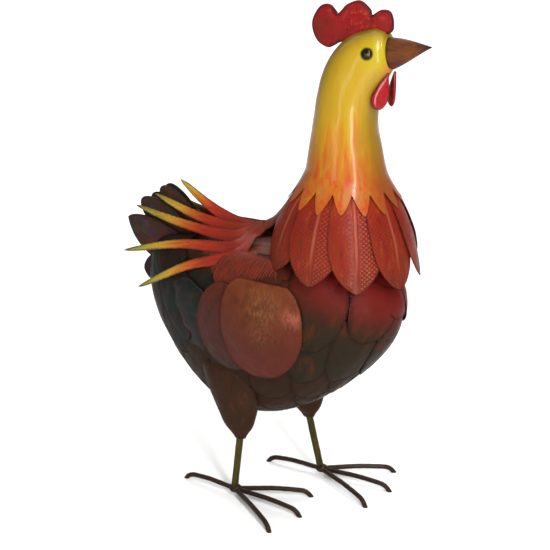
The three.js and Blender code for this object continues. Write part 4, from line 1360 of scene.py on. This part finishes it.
def makeWeld(side, paint):
    # the lump of weld where the leg meets the toes: an uneven squashed ball
    rows, columns = weld["grid"]
    polar, turn = np.linspace(0.03, 0.97, rows)[:, None] * math.pi, turnsAround(columns)
    x, y = np.sin(polar) * np.cos(turn), np.sin(polar) * np.sin(turn)
    ball = np.stack([x, y, -np.cos(polar) + 0 * turn], -1)
    rings = ball * np.array(weld["size"])
    rings = rings * (1 + weld["rough"] * smoothNoise(rings, 5, 71))[..., None]
    x, y = leg[side]["foot"]
    addLoft(f"{side}FootWeld", rings + np.array([x + weld["forward"], y, weld["height"]]), paint)


# Paints of the plates

# A stop is a place and a colour. A layer is the stretch of its noise, the noise where it starts and where it
# is full, its share, colour, shift and, where it has one, its spot. The raised parts have the relief where
# they start and where they are full, a share and a colour, the hollows a share and the colour of their
# painted shade, and the rim a colour, a width and a share: the rim's colour is painted shade along the cut
# edges.

hackleLook = {
    "name": "hackleEnamel", "depth": 0.58, "streakShift": 0.3,
    "stops": [(0.0, (160, 48, 24)), (0.3, (136, 40, 25)), (0.7, (138, 46, 26)), (1.0, (112, 44, 26))],
    "layers": [
        ((0.10, 0.035, 1), 0.5, 0.68, 0.5, (128, 26, 32), 7),
        ((0.22, 0.05, 1), 0.55, 0.7, 0.5, (166, 78, 36), 31),
        ((0.16, 0.05, 1), 0.56, 0.7, 0.55, (96, 44, 28), 61),
    ],
    # the raised diamonds get a pale pink painted highlight, and the hollows painted shade
    "raised": (0.62, 1.1, 0.5, (214, 132, 104)), "hollow": (0.5, (84, 26, 18)),
    "rim": ((72, 32, 22), 0.4, 0.85),
    "rough": (0.34, 0.48), "metal": 0.05, "coat": 0.05, "coatRough": 0.12, "shine": 0.05,
}

breastLook = {
    "name": "breastEnamel", "depth": 0.55, "streakStretch": (0.3, 0.06, 1.0),
    "stops": [(0.0, (122, 30, 28)), (0.3, (108, 34, 26)), (0.52, (76, 34, 23)), (0.72, (54, 37, 25)),
              (1.0, (46, 38, 27))],
    "layers": [
        ((0.09, 0.05, 1), 0.5, 0.7, 0.45, (100, 42, 24), 7),
        ((0.4, 0.05, 1), 0.56, 0.7, 0.25, (66, 46, 30), 17),
    ],
    "rim": ((38, 22, 17), 1.0, 0.85), "rough": (0.34, 0.52), "bump": 0.2, "shine": 0.04,
}

wingFinish = {
    "depth": 0.5, "streakStretch": (0.2, 0.06, 1.0),
    "rough": (0.36, 0.52), "metal": 0.04, "coat": 0.03, "coatRough": 0.22,
}

frontCovertLook = {
    **wingFinish, "name": "frontCovertEnamel",
    "stops": [(0.0, (126, 62, 32)), (0.35, (112, 50, 28)), (0.7, (98, 40, 25)), (1.0, (104, 36, 26))],
    "layers": [
        ((0.5, 0.12, 1), 0.4, 0.66, 0.7, (140, 100, 50), 7, ((2, 30, 0), 8, 34)),
        ((0.34, 0.2, 1), 0.42, 0.64, 0.5, (132, 90, 44), 19, ((2, 62, 0), 3, 22)),
        ((0.09, 0.05, 1), 0.5, 0.66, 0.45, (84, 46, 24), 41),
        ((0.5, 0.3, 1), 0.6, 0.72, 0.3, (160, 112, 76), 71),
        # a pink painted highlight on one spot near the plate's edge
        ((0.3, 0.12, 1), 0.3, 0.6, 0.6, (190, 104, 80), 91, ((38, 38, 0), 3, 20)),
    ],
    # painted shade in the hollows of the dents and swirls, and along the rim
    "hollow": (0.4, (80, 34, 20)), "rim": ((84, 36, 22), 0.45, 0.7),
}

middleCovertLook = {
    **wingFinish, "name": "middleCovertEnamel",
    "stops": [(0.0, (102, 44, 26)), (0.4, (92, 36, 26)), (0.8, (78, 34, 25)), (1.0, (56, 32, 24))],
    "layers": [
        ((0.1, 0.05, 1), 0.46, 0.64, 0.6, (56, 38, 27), 7),
        ((0.5, 0.08, 1), 0.55, 0.7, 0.5, (116, 56, 36), 29),
    ],
    "rim": ((44, 22, 18), 0.45, 0.7),
}

rearCovertLook = {
    **wingFinish, "name": "rearCovertEnamel", "depth": 0.4,
    "stops": [(0.0, (50, 34, 26)), (0.4, (36, 34, 30)), (0.8, (52, 30, 26)), (1.0, (48, 34, 26))],
    "layers": [
        ((0.07, 0.04, 1), 0.4, 0.6, 0.8, (18, 34, 31), 7),
        ((0.3, 0.05, 1), 0.56, 0.7, 0.5, (72, 40, 28), 37),
    ],
    "rim": ((24, 20, 18), 0.45, 0.7),
}

shoulderLook = {
    **wingFinish, "name": "shoulderEnamel", "depth": 0.6,
    "stops": [(0.0, (128, 46, 30)), (0.5, (120, 44, 28)), (1.0, (116, 48, 28))],
    "layers": [((0.5, 0.05, 1), 0.48, 0.64, 0.65, (60, 38, 24), 7)],
    # painted shade in the grooves and along the rim
    "hollow": (0.6, (54, 28, 18)), "rim": ((60, 26, 18), 0.45, 0.7),
}

bellyLook = {
    "name": "bellyEnamel", "depth": 0.52, "streakStretch": (0.3, 0.05, 1.0),
    "stops": [(0.0, (66, 36, 24)), (0.5, (60, 38, 26)), (1.0, (56, 36, 24))],
    "layers": [
        ((0.1, 0.05, 1), 0.5, 0.7, 0.5, (46, 44, 30), 7),
        ((0.5, 0.07, 1), 0.56, 0.72, 0.4, (78, 56, 40), 13),
    ],
    "rim": ((28, 20, 14), 0.5, 0.8), "rough": (0.42, 0.6), "bump": 0.25, "shine": 0.04,
}

tailLook = {
    "name": "tailEnamel", "depth": 0.95, "streakShift": 0.3, "streakStretch": (0.2, 0.04, 1.0),
    "stops": [(0.0, (36, 42, 32)), (0.35, (62, 34, 26)), (0.7, (54, 34, 24)), (1.0, (40, 30, 24))],
    "layers": [
        ((0.06, 0.04, 1), 0.5, 0.66, 0.55, (84, 34, 32), 7),
        ((0.08, 0.05, 1), 0.52, 0.68, 0.6, (28, 56, 42), 23),
        ((0.07, 0.06, 1), 0.54, 0.7, 0.5, (38, 30, 72), 43),
    ],
    "raised": (0.45, 1.0, 0.2, (76, 58, 46)), "rim": ((18, 14, 12), 0.35, 0.7),
    "rough": (0.34, 0.5), "coat": 0.03, "bump": 0.15, "shine": 0.06,
}

rumpLook = {
    "name": "rumpEnamel", "depth": 0.5, "streakShift": 0.3, "streakStretch": (0.2, 0.04, 1.0),
    "stops": [(0.0, (44, 40, 32)), (0.4, (52, 34, 27)), (0.8, (40, 34, 28)), (1.0, (34, 28, 24))],
    "layers": [
        ((0.06, 0.04, 1), 0.46, 0.62, 0.7, (24, 46, 42), 7),
        ((0.08, 0.05, 1), 0.54, 0.68, 0.5, (78, 32, 30), 23),
    ],
    "rim": ((18, 14, 12), 0.4, 0.75), "rough": (0.4, 0.56), "bump": 0.2, "shine": 0.04,
}

fanLook = {
    "name": "fanEnamel", "depth": 0.52, "streakShift": 0.1, "streakStretch": (0.3, 0.04, 1.0),
    "stops": [(0.0, (120, 76, 42)), (0.12, (134, 60, 34)), (0.3, (142, 52, 32)), (0.6, (152, 46, 32)),
              (0.71, (180, 54, 32)), (0.78, (200, 100, 34)), (0.85, (206, 158, 54)), (0.92, (178, 166, 66)),
              (0.97, (146, 140, 66)), (1.0, (92, 90, 62))],
    "layers": [
        ((0.3, 0.03, 1), 0.52, 0.68, 0.4, (134, 34, 26), 7),
        ((0.5, 0.025, 1), 0.52, 0.68, 0.5, (92, 52, 32), 47),
    ],
    "rim": ((54, 32, 20), 0.34, 0.85), "rough": (0.34, 0.5), "metal": 0.04, "coat": 0.04, "coatRough": 0.18,
}


# Paints of the other pieces. Their spots are places in metres.

combLook = {
    "name": "combEnamel", "depth": 0.56, "stretch": (40, 40, 40),
    "stops": [(0.3, (130, 26, 24)), (0.5, (152, 28, 32)), (0.7, (140, 40, 28))],
    "layers": [
        ((260, 260, 260), 0.52, 0.64, 0.5, (204, 84, 44), 5, ((0.116, 0.0, 0.594), 0.008, 0.032)),
        ((200, 200, 200), 0.56, 0.68, 0.4, (196, 70, 46), 33),
        ((60, 60, 60), 0.5, 0.66, 0.6, (112, 30, 24), 21),
        ((20, 20, 20), 0.0, 0.1, 0.6, (112, 40, 30), 5, ((0.062, 0.001, 0.572), 0.004, 0.03)),
    ],
    "rim": ((76, 16, 22), 0.6, 0.85), "rough": (0.36, 0.52), "coat": 0.06, "coatRough": 0.2, "shine": 0.05,
    "peelScale": 300, "strokes": (120, 120, 120),
}

wattleLook = {
    "name": "wattleEnamel", "depth": 0.58, "stretch": (60, 60, 60),
    "stops": [(0.3, (160, 20, 28)), (0.7, (172, 30, 36))],
    "layers": [((200, 200, 90), 0.56, 0.7, 0.4, (132, 22, 32), 5)],
    "rim": ((96, 16, 20), 0.4, 0.6), "rough": (0.2, 0.34), "coat": 0.3, "coatRough": 0.1, "bump": 0.1,
    "strokes": (120, 120, 50),
}

beakLook = {
    "name": "beakEnamel", "depth": 0.48, "stretch": (30, 160, 160),
    "stops": [(0.3, (110, 60, 30)), (0.55, (124, 70, 34)), (0.75, (92, 50, 34))],
    "layers": [
        ((60, 260, 260), 0.5, 0.66, 0.6, (76, 44, 30), 5),
        ((20, 20, 20), 0.0, 0.1, 0.75, (44, 30, 24), 5, ((0.197, 0.001, 0.563), 0.004, 0.022)),
        ((20, 20, 20), 0.0, 0.1, 0.6, (84, 34, 40), 5, ((0.155, 0.001, 0.540), 0.01, 0.022)),
    ],
    "rough": (0.38, 0.54), "patchScale": 80, "metal": 0.1, "coat": 0.06, "coatRough": 0.2, "peelScale": 300,
    "strokes": (60, 260, 260), "bump": 0.2,
}

darkLook = {
    "name": "darkBrownEnamel", "depth": 0.56, "stretch": (26, 26, 16),
    "stops": [(0.3, (56, 34, 23)), (0.5, (64, 40, 27)), (0.7, (52, 36, 24))],
    "layers": [
        ((120, 120, 60), 0.55, 0.7, 0.6, (92, 52, 30), 5),
        ((50, 50, 50), 0.56, 0.7, 0.5, (44, 46, 36), 11),
    ],
    "rough": (0.42, 0.6), "patchScale": 50, "coat": 0.0, "shine": 0.04,
}

neckRootLook = {
    "name": "neckRootEnamel", "depth": 0.6, "stretch": (60, 60, 12),
    "stops": [(0.3, (120, 34, 24)), (0.6, (96, 34, 24)), (0.8, (66, 34, 24))],
    "rough": (0.36, 0.52), "patchScale": 50, "metal": 0.1, "bump": 0.15,
}

legLook = {
    "name": "legSteel", "depth": 0.45, "stretch": (120, 120, 30),
    "stops": [(0.3, (84, 72, 30)), (0.5, (96, 84, 34)), (0.7, (66, 56, 28))],
    "layers": [((260, 260, 60), 0.54, 0.68, 0.6, (52, 38, 24), 5)],
    "patchScale": 120, "metal": 0.4, "peelScale": 360, "strokes": (300, 300, 60), "bump": 0.3,
}

toeLook = {
    "name": "toeSteel", "depth": 0.5, "stretch": (90, 90, 90),
    "stops": [(0.3, (58, 40, 34)), (0.5, (66, 48, 38)), (0.7, (52, 44, 30))],
    "layers": [((220, 220, 220), 0.54, 0.68, 0.5, (88, 60, 34), 5)],
    "patchScale": 120, "metal": 0.3, "peelScale": 360, "strokes": (240, 240, 240), "bump": 0.3,
}

neckLook = {
    **solidFinish, "name": "neckEnamel", "depth": 0.56, "rough": (0.28, 0.44), "coat": 0.2, "coatRough": 0.09,
    "strokes": (160, 160, 14), "bump": 0.12, "bumpDepth": 0.0004, "shine": 0.16,
    "fadeFrom": 0.381,  # the height where the stops start, and the length over which they run
    "fadeOver": 0.22,
    "streaks": ((150, 150, 9), 0.13),  # stretch of the noise, and how far it sways the stops
    "fineStreaks": ((420, 420, 16), 0.03),
    "giltMarks": ((80, 80, 14), 0.46, 0.7, 0.6),  # stretch, the noise where it starts and is full, share
    "fingerMarks": ((170, 170, 12), 0.5, 0.64, 0.75),
    "fingersFade": (0.41, 0.48),  # heights between which the fingers fade out
    # painted shade round the neck's sides: where it starts and is full, and its colours low and high
    "shadeNape": (0.6, 0.88),  # from the throat (0) round to the nape (1)
    "shadeThroat": (0.04, 0.3),
    "shadeFade": (0.40, 0.46),  # heights between which the shade turns from low to high
    "stops": [(0.0, (188, 92, 28)), (0.12, (198, 104, 26)), (0.26, (202, 118, 24)), (0.34, (206, 136, 24)),
              (0.40, (208, 150, 20)), (0.46, (198, 156, 22)), (0.8, (200, 162, 26)), (1.0, (198, 164, 32))],
    "gilt": (184, 132, 30),
    "fingers": (206, 66, 22),
    "shadeLow": (150, 70, 26),
    "shadeHigh": (146, 116, 26),
    # spots on the throat, the cheek and round the eye: place, inner and outer distance, share and colour
    "throat": ((0.152, 0.001, 0.540), 0.006, 0.022, 0.7, (222, 128, 34)),
    "cheek": ((0.143, 0.020, 0.557), 0.006, 0.028, 0.5, (196, 186, 20)),
    "eyeRing": ((0.134, 0.0245, 0.555), 0.0062, 0.0078, 0.85, (52, 40, 14)),
}


def neckPaint(look):
    # yellow over orange in long brushed fingers, with a ring round each eye and painted shade towards the
    # nape and the throat, the sides of the neck that turn away from the light
    paint, shader = newPaint(look["name"])
    place = objectPlace(paint)
    apart = addNode(paint, "SeparateXYZ")
    plug(paint, place, apart.inputs["Vector"])
    height = apart.outputs["Z"]
    mirror = addNode(paint, "CombineXYZ")
    plug(paint, apart.outputs["X"], mirror.inputs["X"])
    plug(paint, sums(paint, "ABSOLUTE", apart.outputs["Y"]), mirror.inputs["Y"])
    plug(paint, height, mirror.inputs["Z"])
    bothSides = mirror.outputs["Vector"]
    level = height
    for stretch, sway in (look["streaks"], look["fineStreaks"]):
        level = swayed(paint, level, noise(paint, stretched(paint, place, stretch), 1.0, 2), sway)
    level = times(paint, sums(paint, "SUBTRACT", level, look["fadeFrom"]), 1 / look["fadeOver"])
    tint = fading(paint, level, look["stops"])
    stretch, low, high, share = look["giltMarks"]
    gilt = noise(paint, stretched(paint, place, stretch, (3, 0, 0)), 1.0, 4)
    tint = blend(paint, between(paint, gilt, low, high, 0.0, share), tint, colour(*look["gilt"]))
    stretch, low, high, share = look["fingerMarks"]
    fingers = noise(paint, stretched(paint, place, stretch, (9, 4, 0)), 1.0, 3)
    lowDown = between(paint, height, *look["fingersFade"], 1.0, 0.0)
    fingers = times(paint, between(paint, fingers, low, high, 0.0, share), lowDown)
    tint = blend(paint, fingers, tint, colour(*look["fingers"]))
    # painted shade: darker olive and orange-brown towards the nape and the throat, where the neck turns from
    # the light
    turned = attributeOf(paint, "turned")
    nape = between(paint, turned, *look["shadeNape"])
    throat = between(paint, turned, *look["shadeThroat"], 0.9, 0.0)
    shade = times(paint, sums(paint, "ADD", nape, throat, clamp=True), 0.92)
    low, high = colour(*look["shadeLow"]), colour(*look["shadeHigh"])
    tint = blend(paint, shade, tint, blend(paint, between(paint, height, *look["shadeFade"]), low, high))
    for spot, spotPlace in (("throat", place), ("cheek", bothSides), ("eyeRing", bothSides)):
        centre, inner, outer, share, over = look[spot]
        near = nearPoint(paint, spotPlace, centre, inner, outer)
        tint = blend(paint, times(paint, near, share), tint, colour(*over))
    finishPaint(paint, shader, tint, look, place)
    return paint


eyeLook = {
    "name": "eyeGlass",
    "stops": [(0.3, (10, 7, 4)), (0.7, (22, 15, 8))],
    # the painted glint: a warm highlight put into the bead's colour, and where it lies
    "paintedGlint": (112, 84, 36),
    "paintedGlintSpot": ((0.1366, -0.0265, 0.5546), 0.0004, 0.0026),  # place, inner and outer distance
    "rough": (0.1, 0.2),
    "shine": 0.15,
    "coat": 0.06,
    "coatRough": 0.05,
}


def eyePaint(look):
    # near black glass with a faint haze and one warm painted glint, a highlight put into its colour
    paint, shader = newPaint(look["name"])
    place = objectPlace(paint)
    haze = noise(paint, place, 300, 2)
    dark = fading(paint, haze, look["stops"])
    paintedGlint = nearPoint(paint, place, *look["paintedGlintSpot"])
    plug(paint, blend(paint, paintedGlint, dark, colour(*look["paintedGlint"])), shader.inputs["Base Color"])
    plug(paint, between(paint, haze, 0.3, 0.7, *look["rough"]), shader.inputs["Roughness"])
    shader.inputs["Specular IOR Level"].default_value = look["shine"]
    shader.inputs["Coat Weight"].default_value = look["coat"]
    shader.inputs["Coat Roughness"].default_value = look["coatRough"]
    return paint


floor = {
    "size": 14,  # half its side, in metres
    "rough": 0.9,
    "stops": [(0.3, (244, 244, 243)), (0.7, (248, 248, 247))],
}


def makeFloor():
    paint, shader = newPaint("paleFloor")
    mottle = noise(paint, objectPlace(paint), 3.0, 3)
    plug(paint, fading(paint, mottle, floor["stops"]), shader.inputs["Base Color"])
    shader.inputs["Roughness"].default_value = floor["rough"]
    corners = [(x * floor["size"], y * floor["size"], 0) for x, y in ((-1, -1), (1, -1), (1, 1), (-1, 1))]
    mesh = bpy.data.meshes.new("floor")
    mesh.from_pydata(corners, [], [(0, 1, 2, 3)])
    mesh.materials.append(paint)
    ground = bpy.data.objects.new("floor", mesh)
    bpy.context.collection.objects.link(ground)


makeCamera()
makeLights()
makeFloor()
print("camera, light and floor are set")
plateLooks = {
    "breast": breastLook, "belly": bellyLook, "rump": rumpLook, "hackle": hackleLook, "fan": fanLook,
    "tail": tailLook, "shoulder_plate": shoulderLook, "rear_covert": rearCovertLook,
    "middle_covert": middleCovertLook, "front_covert": frontCovertLook,
}
solidLooks = {
    "dark": darkLook, "neckRoot": neckRootLook, "comb": combLook, "wattle": wattleLook, "beak": beakLook,
    "leg": legLook, "toe": toeLook,
}
paints = {"neck": neckPaint(neckLook), "eye": eyePaint(eyeLook)}
for name, look in plateLooks.items():
    paints[name] = featherPaint(look)
for name, look in solidLooks.items():
    paints[name] = objectPaint(look)
print("paints are mixed")
makeBody(paints["dark"])
makeBreast(paints["breast"])
makeBelly(paints["belly"])
makeRump(paints["rump"], paints["shoulder_plate"])
print("body, breast, belly and rump are clad")
makeWings(paints)
print("wings are on")
makeNeck(paints["neck"], paints["neckRoot"])
makeHackles(paints["hackle"])
print("neck, collar and hackle feathers are on")
makeComb(paints["comb"])
makeWattles(paints["wattle"])
makeBeak(paints["beak"])
makeEyes(paints["eye"])
print("comb, wattles, beak and eyes are on")
makeFans(paints["fan"])
makeTail(paints["tail"])
print("fans and tail are on")
for side in flanks:
    makeThigh(side, paints["dark"])
    makeLeg(side, paints["leg"])
    makeFoot(side, paints["toe"])
    makeWeld(side, paints["toe"])
print("legs and feet are on")
